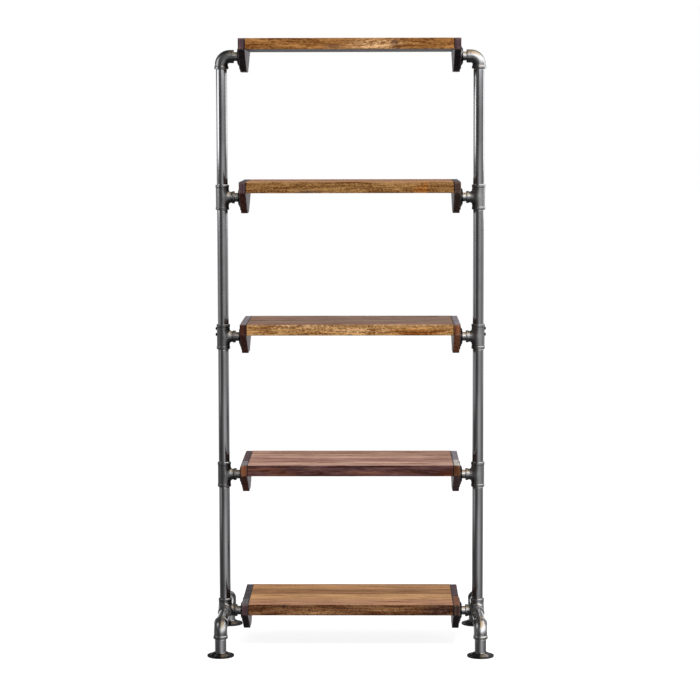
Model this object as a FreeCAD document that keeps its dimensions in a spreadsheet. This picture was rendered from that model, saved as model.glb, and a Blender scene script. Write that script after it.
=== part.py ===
import FreeCAD, Part
import os
import Sketcher
from FreeCAD import Placement, Rotation, Vector

# Five wooden shelves hung between two uprights of threaded iron pipe, with four flanged pipe feet.
# Millimetres. X runs along the shelves, Y from front to back, Z up; the origin is on the floor,
# midway between the four feet. Each kind of piece is drawn once and then set in its places.

SHELVES = 5
SLIP_JOINT_LEVEL = 2
STAVES = 4
FLANGE_SCREWS = 4
FULL_TURN = 360
HALF_TURN = 180
QUARTER_TURN = 90
FIRST_SCREW_ANGLE = 45

SIZES = {
    # the whole
    "base_axis_height": 91,
    "shelf_spacing": 422,
    "cut_overrun": 1,
    # shelf boards
    "shelf_width": 656,
    "shelf_depth": 300,
    "board_thickness": 33,
    "wood_edge_round": 1.5,
    # end plates
    "plate_thickness": 20,
    "plate_height": 97,
    "plate_foot_width": 75,
    # dowels between boards and end plates
    "dowel_diameter": 8,
    "dowel_length": 30,
    "dowel_in_plate": 12,
    "dowel_bevel": 1,
    "dowel_clearance": 0.1,
    "dowel_end_gap": 0.5,
    # large pipe of the uprights, base rails and feet
    "pipe_diameter": 33.7,
    "pipe_wall": 3.2,
    "pipe_end_bevel": 0.8,
    # small pipe of the shelf nipples
    "nipple_diameter": 26.9,
    "nipple_wall": 2.7,
    "nipple_bared": 10.5,
    # tees and base fittings
    "fitting_reach": 37.5,
    "fitting_wall": 2.2,
    "tee_crotch_radius": 2.35,
    "band_height": 1.5,
    "band_length": 7.5,
    "lip_bevel": 0.8,
    "socket_depth": 15,
    "socket_clearance": 0.05,
    "branch_wall": 3,
    "branch_band_height": 2,
    "branch_socket_depth": 13,
    "branch_drop": 50,
    # elbows
    "elbow_wall": 2.9,
    "elbow_band_height": 1.8,
    "elbow_crotch_radius": 4.7,
    # shelf flanges
    "flange_diameter": 78,
    "flange_rim": 4,
    "flange_height": 10.5,
    "flange_cone_foot": 61,
    "flange_hub_diameter": 44,
    "flange_screw_circle": 69.5,
    "flange_screw_hole": 4.4,
    # base rails and feet
    "foot_reach": 213,
    "foot_flange_diameter": 80,
    "foot_flange_rim": 4,
    "foot_flange_height": 11,
    "foot_cone_foot": 61,
    "foot_hub_diameter": 45,
    "foot_screw_circle": 70,
    "foot_screw_hole": 5.5,
    "foot_nipple_recess": 1.5,
    # wood screws through the shelf flanges
    "screw_diameter": 4,
    "screw_length": 18,
    "screw_tip": 4,
    "screw_head_diameter": 7,
    "screw_head_height": 2.4,
    "screw_clearance": 0.1,
    "screw_end_gap": 0.5,
    "screw_slot_width": 1,
    "screw_slot_span": 4,
    "screw_slot_depth": 1.2,
    # button screws that lock the slip joint of each upright
    "slip_screw_diameter": 6,
    "slip_screw_length": 7,
    "slip_head_diameter": 10,
    "slip_head_height": 5,
    "slip_screw_height": 6.5,
    "slip_screw_spacing": 18,
    "slip_screw_clearance": 0.1,
    "spot_face_depth": 0.7,
    "spot_face_margin": 0.5,
    "key_width": 4,
    "key_depth": 2,
}

# Shares of the piece that they shape.
HEAD_WALL_SHARE = 0.45
HEAD_CROWN_SHARE = 0.6

doc = FreeCAD.newDocument("etagere")
sheet = doc.addObject("Spreadsheet::Sheet", "sizes")
for row, (alias, size) in enumerate(SIZES.items(), start=1):
    sheet.set(f"A{row}", alias)
    sheet.set(f"B{row}", str(size))
    sheet.setAlias(f"B{row}", alias)
doc.recompute()

# Sizes that follow from the sheet, as expressions.
BOARD_LENGTH = "(sizes.shelf_width - 2 * sizes.plate_thickness)"
STAVE_WIDTH = f"(sizes.shelf_depth / {STAVES})"
PIPE_BORE = "(sizes.pipe_diameter - 2 * sizes.pipe_wall)"
NIPPLE_BORE = "(sizes.nipple_diameter - 2 * sizes.nipple_wall)"
SOCKET = "(sizes.pipe_diameter + 2 * sizes.socket_clearance)"
BRANCH_SOCKET = "(sizes.nipple_diameter + 2 * sizes.socket_clearance)"
FITTING_BODY = f"({SOCKET} + 2 * sizes.fitting_wall)"
FITTING_BAND = f"({FITTING_BODY} + 2 * sizes.band_height)"
BRANCH_BODY = f"({BRANCH_SOCKET} + 2 * sizes.branch_wall)"
BRANCH_BAND = f"({BRANCH_BODY} + 2 * sizes.branch_band_height)"
ELBOW_BODY = f"({SOCKET} + 2 * sizes.elbow_wall)"
ELBOW_BAND = f"({ELBOW_BODY} + 2 * sizes.elbow_band_height)"
ELBOW_BEND = f"({ELBOW_BODY} / 2 + sizes.elbow_crotch_radius)"
PIPE_END = "(sizes.fitting_reach - sizes.socket_depth)"
NIPPLE_LENGTH = "(sizes.flange_height + sizes.nipple_bared + sizes.branch_socket_depth)"
UPRIGHT_LENGTH = f"(sizes.shelf_spacing - 2 * {PIPE_END})"
SLIP_LENGTH = f"(sizes.shelf_spacing - {PIPE_END})"
RAIL_LENGTH = f"(sizes.foot_reach - 2 * {PIPE_END})"
DOWEL_IN_BOARD = "(sizes.dowel_length - sizes.dowel_in_plate)"
DOWEL_HOLE = "(sizes.dowel_diameter + 2 * sizes.dowel_clearance)"
SLIP_SCREW_HEIGHTS = ("sizes.slip_screw_height", "(sizes.slip_screw_height + sizes.slip_screw_spacing)")
SLIP_SCREW_HOLE = "(sizes.slip_screw_diameter + 2 * sizes.slip_screw_clearance)"
UPRIGHT_X = "(sizes.shelf_width / 2 + sizes.flange_height + sizes.nipple_bared + sizes.fitting_reach)"


def shelf_top(level):
    """Height of the top of a shelf; level 0 is the highest."""
    rises = SHELVES - 1 - level
    return f"(sizes.base_axis_height + sizes.branch_drop + {rises} * sizes.shelf_spacing)"


def fitting_axis(level):
    """Height of the axis of the fittings that hold a shelf."""
    return f"({shelf_top(level)} - sizes.branch_drop)"


FOOT_NIPPLE_LENGTH = f"({fitting_axis(SHELVES - 1)} - {PIPE_END} - sizes.foot_nipple_recess)"


def stave_middle(place):
    """Y of the middle of a stave; place 0 is the front one."""
    return f"({place} + 0.5) * {STAVE_WIDTH} - sizes.shelf_depth / 2"


def number(text):
    """What an expression is worth now."""
    return float(sheet.evalExpression(text))


def around(diameter, angle):
    """A point on a circle, as two expressions."""
    return f"{diameter} / 2 * cos({angle} deg)", f"{diameter} / 2 * sin({angle} deg)"


screw_angles = [FIRST_SCREW_ANGLE + FULL_TURN * turn / FLANGE_SCREWS for turn in range(FLANGE_SCREWS)]
screw_places = [around("sizes.flange_screw_circle", angle) for angle in screw_angles]


def new_body(name):
    return doc.addObject("PartDesign::Body", name)


def origin_item(body, role):
    return next(item for item in body.Origin.OriginFeatures if item.Role == role)


def new_drawing(body, name, plane, offset=None):
    """A sketch on one of the body's own planes, or level with it at an offset."""
    drawing = body.newObject("Sketcher::SketchObject", f"{body.Name}_{name}")
    drawing.AttachmentSupport = (origin_item(body, plane), [""])
    drawing.MapMode = "FlatFace"
    if offset:
        drawing.setExpression("AttachmentOffset.Base.z", offset)
    return drawing


def fix_point(drawing, line, end, x, y):
    """Ties one point of a sketch to its two coordinates."""
    for kind, text, axis in (("DistanceX", x, -2), ("DistanceY", y, -1)):
        if text == "0":
            drawing.addConstraint(Sketcher.Constraint("PointOnObject", line, end, axis))
        else:
            rule = Sketcher.Constraint(kind, -1, 1, line, end, number(text))
            drawing.setExpression(f"Constraints[{drawing.addConstraint(rule)}]", text)


def draw_outline(drawing, points):
    """A closed run of straight lines through points given as expressions."""
    places = [Vector(number(x), number(y), 0) for x, y in points]
    ends = places[1:] + places[:1]
    lines = [drawing.addGeometry(Part.LineSegment(*pair), False) for pair in zip(places, ends)]
    for line, following in zip(lines, lines[1:] + lines[:1]):
        drawing.addConstraint(Sketcher.Constraint("Coincident", line, 2, following, 1))
    for line, (x, y) in zip(lines, points):
        fix_point(drawing, line, 1, x, y)


def draw_circle(drawing, x, y, diameter):
    """A circle whose centre and diameter are expressions."""
    centre = Vector(number(x), number(y), 0)
    shape = Part.Circle(centre, Vector(0, 0, 1), number(diameter) / 2)
    circle = drawing.addGeometry(shape, False)
    fix_point(drawing, circle, 3, x, y)
    rule = Sketcher.Constraint("Diameter", circle, number(diameter))
    drawing.setExpression(f"Constraints[{drawing.addConstraint(rule)}]", diameter)


def must_cut(body, before):
    """A cut that points away from the solid takes nothing off, and that is an error."""
    doc.recompute()
    if not body.Shape.Volume < before:
        raise RuntimeError(f"a cut of {body.Name} takes nothing off")


def turned(body, name, points, axis="V_Axis", plane="XZ_Plane", cut=False):
    """Turns a closed half outline, given as (place along the axis, radius), about that axis."""
    before = body.Shape.Volume if cut else 0
    drawing = new_drawing(body, name, plane)
    draw_outline(drawing, points if axis == "H_Axis" else [(r, along) for along, r in points])
    kind = "PartDesign::Groove" if cut else "PartDesign::Revolution"
    feature = body.newObject(kind, f"{body.Name}_{name}_turned")
    feature.Profile = drawing
    feature.ReferenceAxis = (drawing, [axis])
    feature.Angle = FULL_TURN
    if cut:
        must_cut(body, before)
    doc.recompute()
    return feature


def drawn_out(body, name, plane, length, outline=None, circles=(), offset=None, cut=False, back=False):
    """Draws an outline or circles out along the normal of their plane, to add or to cut."""
    before = body.Shape.Volume if cut else 0
    drawing = new_drawing(body, name, plane, offset)
    if outline:
        draw_outline(drawing, outline)
    for circle in circles:
        draw_circle(drawing, *circle)
    kind = "PartDesign::Pocket" if cut else "PartDesign::Pad"
    feature = body.newObject(kind, f"{body.Name}_{name}_drawn_out")
    feature.Profile = drawing
    feature.setExpression("Length", length)
    # A pocket goes against the normal of its plane, unless it is reversed.
    feature.Reversed = back != cut
    if cut:
        must_cut(body, before)
    doc.recompute()
    return feature


def rounded(body, name, radius, wanted):
    """Rounds the edges of the body that pass the test."""
    base = body.Tip
    names = [f"Edge{place}" for place, edge in enumerate(base.Shape.Edges, start=1) if wanted(edge)]
    feature = body.newObject("PartDesign::Fillet", f"{body.Name}_{name}")
    feature.Base = (base, names)
    feature.setExpression("Radius", radius)
    doc.recompute()
    return feature


def outlet_outer(reach, body_diameter, band_diameter):
    """Half outline of one outlet of a fitting, from its centre to the bevelled lip of its band."""
    body_r = f"{body_diameter} / 2"
    band_r = f"{band_diameter} / 2"
    band_start = f"{reach} - sizes.band_length"
    return [
        ("0", "0"),
        ("0", body_r),
        (f"{band_start} - ({band_r} - {body_r})", body_r),
        (band_start, band_r),
        (f"{reach} - sizes.lip_bevel", band_r),
        (reach, f"{band_r} - sizes.lip_bevel"),
        (reach, "0"),
    ]


def outlet_inner(reach, depth, socket, bore):
    """Half outline of one outlet's bore and of the socket that a pipe screws into."""
    return [
        ("0", "0"),
        ("0", f"{bore} / 2"),
        (f"{reach} - {depth}", f"{bore} / 2"),
        (f"{reach} - {depth}", f"{socket} / 2"),
        (f"{reach} + sizes.cut_overrun", f"{socket} / 2"),
        (f"{reach} + sizes.cut_overrun", "0"),
    ]


def mirrored(points):
    """The same half outline on the other side of the centre."""
    return [("0" if along == "0" else f"-({along})", r) for along, r in points]


RUN_OUTER = outlet_outer("sizes.fitting_reach", FITTING_BODY, FITTING_BAND)
RUN_INNER = outlet_inner("sizes.fitting_reach", "sizes.socket_depth", SOCKET, PIPE_BORE)
SLIP_INNER = [
    ("0", "0"),
    ("0", f"{SOCKET} / 2"),
    ("sizes.fitting_reach + sizes.cut_overrun", f"{SOCKET} / 2"),
    ("sizes.fitting_reach + sizes.cut_overrun", "0"),
]
BRANCH_OUTER = outlet_outer("sizes.fitting_reach", BRANCH_BODY, BRANCH_BAND)
BRANCH_INNER = outlet_inner("sizes.fitting_reach", "sizes.branch_socket_depth", BRANCH_SOCKET, NIPPLE_BORE)


def crossing(edge):
    """Where two outlets of a fitting meet, the edge is neither straight nor round."""
    return not isinstance(edge.Curve, (Part.Line, Part.Circle))


def draw_tee(name, slip_joint):
    """Tee: the run stands along Z and the smaller branch points along +X, to the shelf."""
    body = new_body(name)
    turned(body, "upper_run", RUN_OUTER)
    turned(body, "lower_run", mirrored(RUN_OUTER))
    turned(body, "branch", BRANCH_OUTER, axis="H_Axis")
    rounded(body, "crotch", "sizes.tee_crotch_radius", crossing)
    turned(body, "lower_bore", mirrored(RUN_INNER), cut=True)
    turned(body, "branch_bore", BRANCH_INNER, axis="H_Axis", cut=True)
    if not slip_joint:
        turned(body, "upper_bore", RUN_INNER, cut=True)
        return body
    turned(body, "slip_bore", SLIP_INNER, cut=True)
    drawn_out(body, "screw_holes", "YZ_Plane", FITTING_BAND, cut=True, back=True,
              circles=[("0", height, SLIP_SCREW_HOLE) for height in SLIP_SCREW_HEIGHTS])
    seat = f"-({FITTING_BODY} / 2 - sizes.spot_face_depth)"
    face = "sizes.slip_head_diameter + 2 * sizes.spot_face_margin"
    drawn_out(body, "spot_faces", "YZ_Plane", FITTING_BAND, offset=seat, cut=True, back=True,
              circles=[("0", height, face) for height in SLIP_SCREW_HEIGHTS])
    return body


def draw_base_fitting():
    """Base fitting: its run lies along Y, one outlet stands up and a smaller one points to the shelf."""
    body = new_body("base_fitting_drawing")
    turned(body, "rear_run", RUN_OUTER, axis="H_Axis", plane="YZ_Plane")
    turned(body, "front_run", mirrored(RUN_OUTER), axis="H_Axis", plane="YZ_Plane")
    turned(body, "upper_outlet", RUN_OUTER)
    turned(body, "branch", BRANCH_OUTER, axis="H_Axis")
    turned(body, "rear_bore", RUN_INNER, axis="H_Axis", plane="YZ_Plane", cut=True)
    turned(body, "front_bore", mirrored(RUN_INNER), axis="H_Axis", plane="YZ_Plane", cut=True)
    turned(body, "upper_bore", RUN_INNER, cut=True)
    turned(body, "branch_bore", BRANCH_INNER, axis="H_Axis", cut=True)
    return body


def draw_bend_path(drawing):
    """The centre line of an elbow: up from its lower end, round the bend and out to its other end."""
    reach, bend = "sizes.fitting_reach", ELBOW_BEND
    far, radius = number(reach), number(bend)
    rise = drawing.addGeometry(Part.LineSegment(Vector(0, -far, 0), Vector(0, -radius, 0)), False)
    circle = Part.Circle(Vector(radius, -radius, 0), Vector(0, 0, 1), radius)
    top, side = circle.parameter(Vector(radius, 0, 0)), circle.parameter(Vector(0, -radius, 0))
    arc = drawing.addGeometry(Part.ArcOfCircle(circle, top, side), False)
    leave = drawing.addGeometry(Part.LineSegment(Vector(radius, 0, 0), Vector(far, 0, 0)), False)
    fix_point(drawing, rise, 1, "0", f"-{reach}")
    fix_point(drawing, rise, 2, "0", f"-{bend}")
    fix_point(drawing, leave, 1, bend, "0")
    fix_point(drawing, leave, 2, reach, "0")
    drawing.addConstraint(Sketcher.Constraint("Coincident", rise, 2, arc, 2))
    drawing.addConstraint(Sketcher.Constraint("Coincident", arc, 1, leave, 1))
    centre = Sketcher.Constraint("DistanceX", -1, 1, arc, 3, radius)
    drawing.setExpression(f"Constraints[{drawing.addConstraint(centre)}]", bend)


def swept(body, name, diameter, cut=False):
    """A round section carried along the elbow's centre line."""
    before = body.Shape.Volume if cut else 0
    path = new_drawing(body, f"{name}_path", "XZ_Plane")
    draw_bend_path(path)
    section = new_drawing(body, f"{name}_section", "XY_Plane", offset="-sizes.fitting_reach")
    draw_circle(section, "0", "0", diameter)
    kind = "PartDesign::SubtractivePipe" if cut else "PartDesign::AdditivePipe"
    feature = body.newObject(kind, f"{body.Name}_{name}_swept")
    feature.Profile = section
    feature.Spine = (path, ["Edge1", "Edge2", "Edge3"])
    if cut:
        must_cut(body, before)
    doc.recompute()


def draw_elbow(name, side_socket, side_depth, bore, side_band):
    """Elbow: one end points down and takes the large pipe, the other points along +X."""
    body = new_body(name)
    swept(body, "bend", ELBOW_BODY)
    band = outlet_outer("sizes.fitting_reach", ELBOW_BODY, ELBOW_BAND)[2:]
    band = [(band[0][0], "0")] + band
    turned(body, "lower_band", mirrored(band))
    if side_band:
        turned(body, "side_band", band, axis="H_Axis")
    swept(body, "bore", bore, cut=True)
    lower = outlet_inner("sizes.fitting_reach", "sizes.socket_depth", SOCKET, bore)[3:]
    side = outlet_inner("sizes.fitting_reach", side_depth, side_socket, bore)[3:]
    turned(body, "lower_socket", mirrored([(lower[0][0], "0")] + lower), cut=True)
    turned(body, "side_socket", [(side[0][0], "0")] + side, axis="H_Axis", cut=True)
    return body


def draw_pipe(name, diameter, bore, length, screw_heights=()):
    """Pipe standing along Z from the origin, with bevelled ends and any screw holes on its -X side."""
    body = new_body(name)
    outer = f"{diameter} / 2"
    turned(body, "wall", [
        ("0", f"{bore} / 2"),
        ("0", f"{outer} - sizes.pipe_end_bevel"),
        ("sizes.pipe_end_bevel", outer),
        (f"{length} - sizes.pipe_end_bevel", outer),
        (length, f"{outer} - sizes.pipe_end_bevel"),
        (length, f"{bore} / 2"),
    ])
    if screw_heights:
        drawn_out(body, "screw_holes", "YZ_Plane", diameter, cut=True, back=True,
                  circles=[("0", height, SLIP_SCREW_HOLE) for height in screw_heights])
    return body


def draw_flange(name, diameter, rim, height, cone_foot, hub, bore, screw_circle, screw_hole):
    """Round flange: its flat face is at the origin and its hub rises along +X."""
    body = new_body(name)
    turned(body, "plate", [
        ("0", f"{bore} / 2"),
        ("0", f"{diameter} / 2"),
        (f"{rim} - sizes.lip_bevel", f"{diameter} / 2"),
        (rim, f"{diameter} / 2 - sizes.lip_bevel"),
        (rim, f"{cone_foot} / 2"),
        (f"{height} - sizes.lip_bevel", f"{hub} / 2"),
        (height, f"{hub} / 2 - sizes.lip_bevel"),
        (height, f"{bore} / 2"),
    ], axis="H_Axis")
    hole = drawn_out(body, "screw_hole", "YZ_Plane", f"{height} + sizes.cut_overrun", cut=True,
                     circles=[(*around(screw_circle, FIRST_SCREW_ANGLE), screw_hole)])
    before = body.Shape.Volume
    ring = body.newObject("PartDesign::PolarPattern", f"{name}_screw_ring")
    ring.Originals = [hole]
    ring.Axis = (origin_item(body, "X_Axis"), [""])
    ring.Angle = FULL_TURN
    ring.Occurrences = FLANGE_SCREWS
    body.Tip = ring
    must_cut(body, before)
    return body


def draw_end_plate():
    """End plate: outer face at the origin, top edge at Z = 0, thickness along +X to the board."""
    body = new_body("end_plate_drawing")
    half_depth = "sizes.shelf_depth / 2"
    half_foot = "sizes.plate_foot_width / 2"
    drawn_out(body, "profile", "YZ_Plane", "sizes.plate_thickness", outline=[
        (f"-{half_depth}", "0"),
        (f"-{half_depth}", "-sizes.board_thickness"),
        (f"-{half_foot}", "-sizes.plate_height"),
        (half_foot, "-sizes.plate_height"),
        (half_depth, "-sizes.board_thickness"),
        (half_depth, "0"),
    ])
    rounded(body, "edges", "sizes.wood_edge_round", lambda edge: True)
    drawn_out(body, "dowel_holes", "YZ_Plane", "sizes.dowel_in_plate + sizes.dowel_end_gap",
              offset="sizes.plate_thickness", cut=True, back=True,
              circles=[(stave_middle(place), "-sizes.board_thickness / 2", DOWEL_HOLE)
                       for place in range(STAVES)])
    pilot = "sizes.screw_diameter + 2 * sizes.screw_clearance"
    drawn_out(body, "pilot_holes", "YZ_Plane", "sizes.screw_length - sizes.flange_rim + sizes.screw_end_gap",
              cut=True, circles=[(y, f"{z} - sizes.branch_drop", pilot) for y, z in screw_places])
    return body


def draw_stave(name, outer_edge):
    """Stave of a shelf board, along X: its front face is at Y = 0 and its top at Z = 0."""
    body = new_body(name)
    drawn_out(body, "section", "YZ_Plane", BOARD_LENGTH, offset=f"-{BOARD_LENGTH} / 2", outline=[
        ("0", "0"),
        ("0", "-sizes.board_thickness"),
        (STAVE_WIDTH, "-sizes.board_thickness"),
        (STAVE_WIDTH, "0"),
    ])
    if outer_edge:
        rounded(body, "edges", "sizes.wood_edge_round",
                lambda edge: edge.BoundBox.YMax < number(STAVE_WIDTH) / 2 < edge.Length)
    hole = (f"{STAVE_WIDTH} / 2", "-sizes.board_thickness / 2", DOWEL_HOLE)
    depth = f"{DOWEL_IN_BOARD} + sizes.dowel_end_gap"
    drawn_out(body, "left_hole", "YZ_Plane", depth, offset=f"-{BOARD_LENGTH} / 2", cut=True, circles=[hole])
    drawn_out(body, "right_hole", "YZ_Plane", depth, offset=f"{BOARD_LENGTH} / 2", cut=True, back=True,
              circles=[hole])
    return body


def draw_dowel():
    """Dowel along X, with the joint between end plate and board at the origin."""
    body = new_body("dowel_drawing")
    radius = "sizes.dowel_diameter / 2"
    turned(body, "rod", [
        ("-sizes.dowel_in_plate", "0"),
        ("-sizes.dowel_in_plate", f"{radius} - sizes.dowel_bevel"),
        ("-sizes.dowel_in_plate + sizes.dowel_bevel", radius),
        (f"{DOWEL_IN_BOARD} - sizes.dowel_bevel", radius),
        (DOWEL_IN_BOARD, f"{radius} - sizes.dowel_bevel"),
        (DOWEL_IN_BOARD, "0"),
    ], axis="H_Axis")
    return body


def draw_screw(name, prefix, diameter, length, tip, recess, recess_depth):
    """Screw along +X: the underside of its head is at the origin."""
    body = new_body(name)
    head_height = f"sizes.{prefix}_head_height"
    head_r = f"sizes.{prefix}_head_diameter / 2"
    shank_end = f"{length} - {tip}" if tip else length
    turned(body, "blank", [
        (f"-{head_height}", "0"),
        (f"-{head_height}", f"{HEAD_CROWN_SHARE} * {head_r}"),
        (f"-{HEAD_WALL_SHARE} * {head_height}", head_r),
        ("0", head_r),
        ("0", f"{diameter} / 2"),
        (shank_end, f"{diameter} / 2"),
        (length, "0"),
    ], axis="H_Axis")
    drawn_out(body, "recess", "YZ_Plane", recess_depth, offset=f"-{head_height}", cut=True, outline=recess)
    return body


def cross_recess():
    """Outline of a cross slot."""
    far, near = "sizes.screw_slot_span / 2", "sizes.screw_slot_width / 2"
    corners = [(far, near), (near, near), (near, far)]
    turn_once = [(f"-({y})", x) for x, y in corners]
    turn_twice = [(f"-({x})", f"-({y})") for x, y in corners]
    turn_thrice = [(y, f"-({x})") for x, y in corners]
    return corners + turn_once + turn_twice + turn_thrice


def hexagon_recess():
    """Outline of a hexagon socket, given by its width across flats."""
    sides = 6
    across_corners = f"sizes.key_width / cos({FULL_TURN / sides / 2} deg)"
    return [around(f"({across_corners})", FULL_TURN * (side + 0.5) / sides) for side in range(sides)]


# Each kind of piece, drawn once.
outer_stave = draw_stave("outer_stave_drawing", outer_edge=True)
inner_stave = draw_stave("inner_stave_drawing", outer_edge=False)
end_plate = draw_end_plate()
dowel = draw_dowel()
tee = draw_tee("tee_drawing", slip_joint=False)
slip_tee = draw_tee("slip_tee_drawing", slip_joint=True)
base_fitting = draw_base_fitting()
top_elbow = draw_elbow("top_elbow_drawing", BRANCH_SOCKET, "sizes.branch_socket_depth", NIPPLE_BORE,
                       side_band=False)
foot_elbow = draw_elbow("foot_elbow_drawing", SOCKET, "sizes.socket_depth", PIPE_BORE, side_band=True)
upright_pipe = draw_pipe("upright_pipe_drawing", "sizes.pipe_diameter", PIPE_BORE, UPRIGHT_LENGTH)
slip_pipe = draw_pipe("slip_pipe_drawing", "sizes.pipe_diameter", PIPE_BORE, SLIP_LENGTH,
                      screw_heights=SLIP_SCREW_HEIGHTS)
rail = draw_pipe("base_rail_drawing", "sizes.pipe_diameter", PIPE_BORE, RAIL_LENGTH)
foot_nipple = draw_pipe("foot_nipple_drawing", "sizes.pipe_diameter", PIPE_BORE, FOOT_NIPPLE_LENGTH)
shelf_nipple = draw_pipe("shelf_nipple_drawing", "sizes.nipple_diameter", NIPPLE_BORE, NIPPLE_LENGTH)
shelf_flange = draw_flange(
    "shelf_flange_drawing", "sizes.flange_diameter", "sizes.flange_rim", "sizes.flange_height",
    "sizes.flange_cone_foot", "sizes.flange_hub_diameter", BRANCH_SOCKET,
    "sizes.flange_screw_circle", "sizes.flange_screw_hole")
foot_flange = draw_flange(
    "foot_flange_drawing", "sizes.foot_flange_diameter", "sizes.foot_flange_rim", "sizes.foot_flange_height",
    "sizes.foot_cone_foot", "sizes.foot_hub_diameter", SOCKET,
    "sizes.foot_screw_circle", "sizes.foot_screw_hole")
wood_screw = draw_screw("wood_screw_drawing", "screw", "sizes.screw_diameter", "sizes.screw_length",
                        "sizes.screw_tip", cross_recess(), "sizes.screw_slot_depth")
slip_screw = draw_screw("slip_screw_drawing", "slip", "sizes.slip_screw_diameter", "sizes.slip_screw_length",
                        None, hexagon_recess(), "sizes.key_depth")

UPWARD = Rotation(Vector(0, 1, 0), -QUARTER_TURN)
REARWARD = Rotation(Vector(1, 0, 0), -QUARTER_TURN)
ALONG_X = Rotation(Vector(0, 1, 0), QUARTER_TURN)
nodes = []


def about_z(angle):
    return Rotation(Vector(0, 0, 1), angle)


def put(piece, x="0", y="0", z="0", turn=None):
    """Sets a piece in its place, each coordinate tied to the sheet."""
    piece.Placement = Placement(Vector(), turn or Rotation())
    for side, text in zip("xyz", (x, y, z)):
        if text != "0":
            piece.setExpression(f"Placement.Base.{side}", text)
    return piece


def set_piece(node, drawing, **place):
    """One piece of its own: a copy of a drawn body that follows the drawing."""
    body = new_body(node)
    copy = doc.addObject("PartDesign::FeatureBase", f"{node}_shape")
    copy.BaseFeature = drawing
    body.Group = [copy]
    body.Tip = copy
    nodes.append(put(body, **place))


def linked(name, drawing, **place):
    """One member of a group of like pieces."""
    link = doc.addObject("App::Link", name)
    link.LinkedObject = drawing
    return put(link, **place)


def grouped(name, members):
    group = doc.addObject("Part::Compound", name)
    group.Links = members
    return group


# Shelf boards: each is edge-glued from staves, with the eased ones at the front and the back.
staves = [linked("front_stave", outer_stave, y="-sizes.shelf_depth / 2")]
for place in range(1, STAVES - 1):
    stave_y = f"{place} * {STAVE_WIDTH} - sizes.shelf_depth / 2"
    staves.append(linked(f"inner_stave_{place}", inner_stave, y=stave_y))
staves.append(linked("rear_stave", outer_stave, y="sizes.shelf_depth / 2", turn=about_z(HALF_TURN)))
for level in range(SHELVES):
    board = grouped(f"shelf_{level + 1}_board", staves)
    nodes.append(put(board, z=shelf_top(level)))

# Groups that repeat at each end plate: its row of dowels and its flange's ring of screws.
dowel_row = grouped("dowel_row", [
    linked(f"dowel_{place + 1}", dowel, y=stave_middle(place), z="-sizes.board_thickness / 2")
    for place in range(STAVES)])
screw_ring = grouped("screw_ring", [
    linked(f"wood_screw_{place}", wood_screw, x="-sizes.flange_rim", y=y, z=f"{z} - sizes.branch_drop")
    for place, (y, z) in enumerate(screw_places, start=1)])

dowels, screws, shelf_nipples, foot_nipples, slip_screws = [], [], [], [], []
for side, sign, inward, outward in (("left", "-", 0, HALF_TURN), ("right", "", HALF_TURN, 0)):
    shelf_end = f"{sign}sizes.shelf_width / 2"
    joint = f"{sign}{BOARD_LENGTH} / 2"
    upright = f"{sign}{UPRIGHT_X}"
    to_shelf, from_shelf = about_z(inward), about_z(outward)

    # What carries each shelf at this end.
    for level in range(SHELVES):
        shelf = f"shelf_{level + 1}_{side}"
        top, axis = shelf_top(level), fitting_axis(level)
        set_piece(f"{shelf}_end_plate", end_plate, x=shelf_end, z=top, turn=to_shelf)
        set_piece(f"{shelf}_flange", shelf_flange, x=shelf_end, z=axis, turn=from_shelf)
        dowels.append(linked(f"{shelf}_dowels", dowel_row, x=joint, z=top, turn=to_shelf))
        screws.append(linked(f"{shelf}_screws", screw_ring, x=shelf_end, z=top, turn=to_shelf))
        nipple_turn = from_shelf * ALONG_X
        shelf_nipples.append(linked(f"{shelf}_nipple", shelf_nipple, x=shelf_end, z=axis, turn=nipple_turn))

    # The upright, from the top elbow down to the base fitting.
    set_piece(f"shelf_1_{side}_elbow", top_elbow, x=upright, z=fitting_axis(0), turn=to_shelf)
    for level in range(1, SHELVES - 1):
        kind, drawing = ("slip_tee", slip_tee) if level == SLIP_JOINT_LEVEL else ("tee", tee)
        node = f"shelf_{level + 1}_{side}_{kind}"
        set_piece(node, drawing, x=upright, z=fitting_axis(level), turn=to_shelf)
    base = fitting_axis(SHELVES - 1)
    set_piece(f"shelf_{SHELVES}_{side}_base_fitting", base_fitting, x=upright, z=base, turn=to_shelf)
    for lower in range(1, SHELVES):
        pipe = f"{side}_upright_{lower + 1}_to_{lower}"
        if lower == SLIP_JOINT_LEVEL:
            set_piece(pipe, slip_pipe, x=upright, z=fitting_axis(lower), turn=to_shelf)
        else:
            set_piece(pipe, upright_pipe, x=upright, z=f"{fitting_axis(lower)} + {PIPE_END}")
    seat = f"{sign}({UPRIGHT_X} + {FITTING_BODY} / 2 - sizes.spot_face_depth)"
    for place, height in enumerate(SLIP_SCREW_HEIGHTS, start=1):
        slip_screws.append(linked(f"{side}_slip_screw_{place}", slip_screw, x=seat, turn=to_shelf,
                                  z=f"{fitting_axis(SLIP_JOINT_LEVEL)} + {height}"))

    # The base rail to the front and to the rear, with a foot at the end of each.
    for end, mark, rail_turn, elbow_turn in (("front", "-", REARWARD.inverted(), about_z(QUARTER_TURN)),
                                             ("rear", "", REARWARD, about_z(-QUARTER_TURN))):
        foot = f"{side}_{end}"
        foot_y = f"{mark}sizes.foot_reach"
        set_piece(f"{foot}_base_rail", rail, x=upright, y=f"{mark}{PIPE_END}", z=base, turn=rail_turn)
        set_piece(f"{foot}_foot_elbow", foot_elbow, x=upright, y=foot_y, z=base, turn=elbow_turn)
        set_piece(f"{foot}_foot_flange", foot_flange, x=upright, y=foot_y, turn=UPWARD)
        foot_nipples.append(linked(f"{foot}_foot_nipple", foot_nipple, x=upright, y=foot_y,
                                   z="sizes.foot_nipple_recess"))

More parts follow.
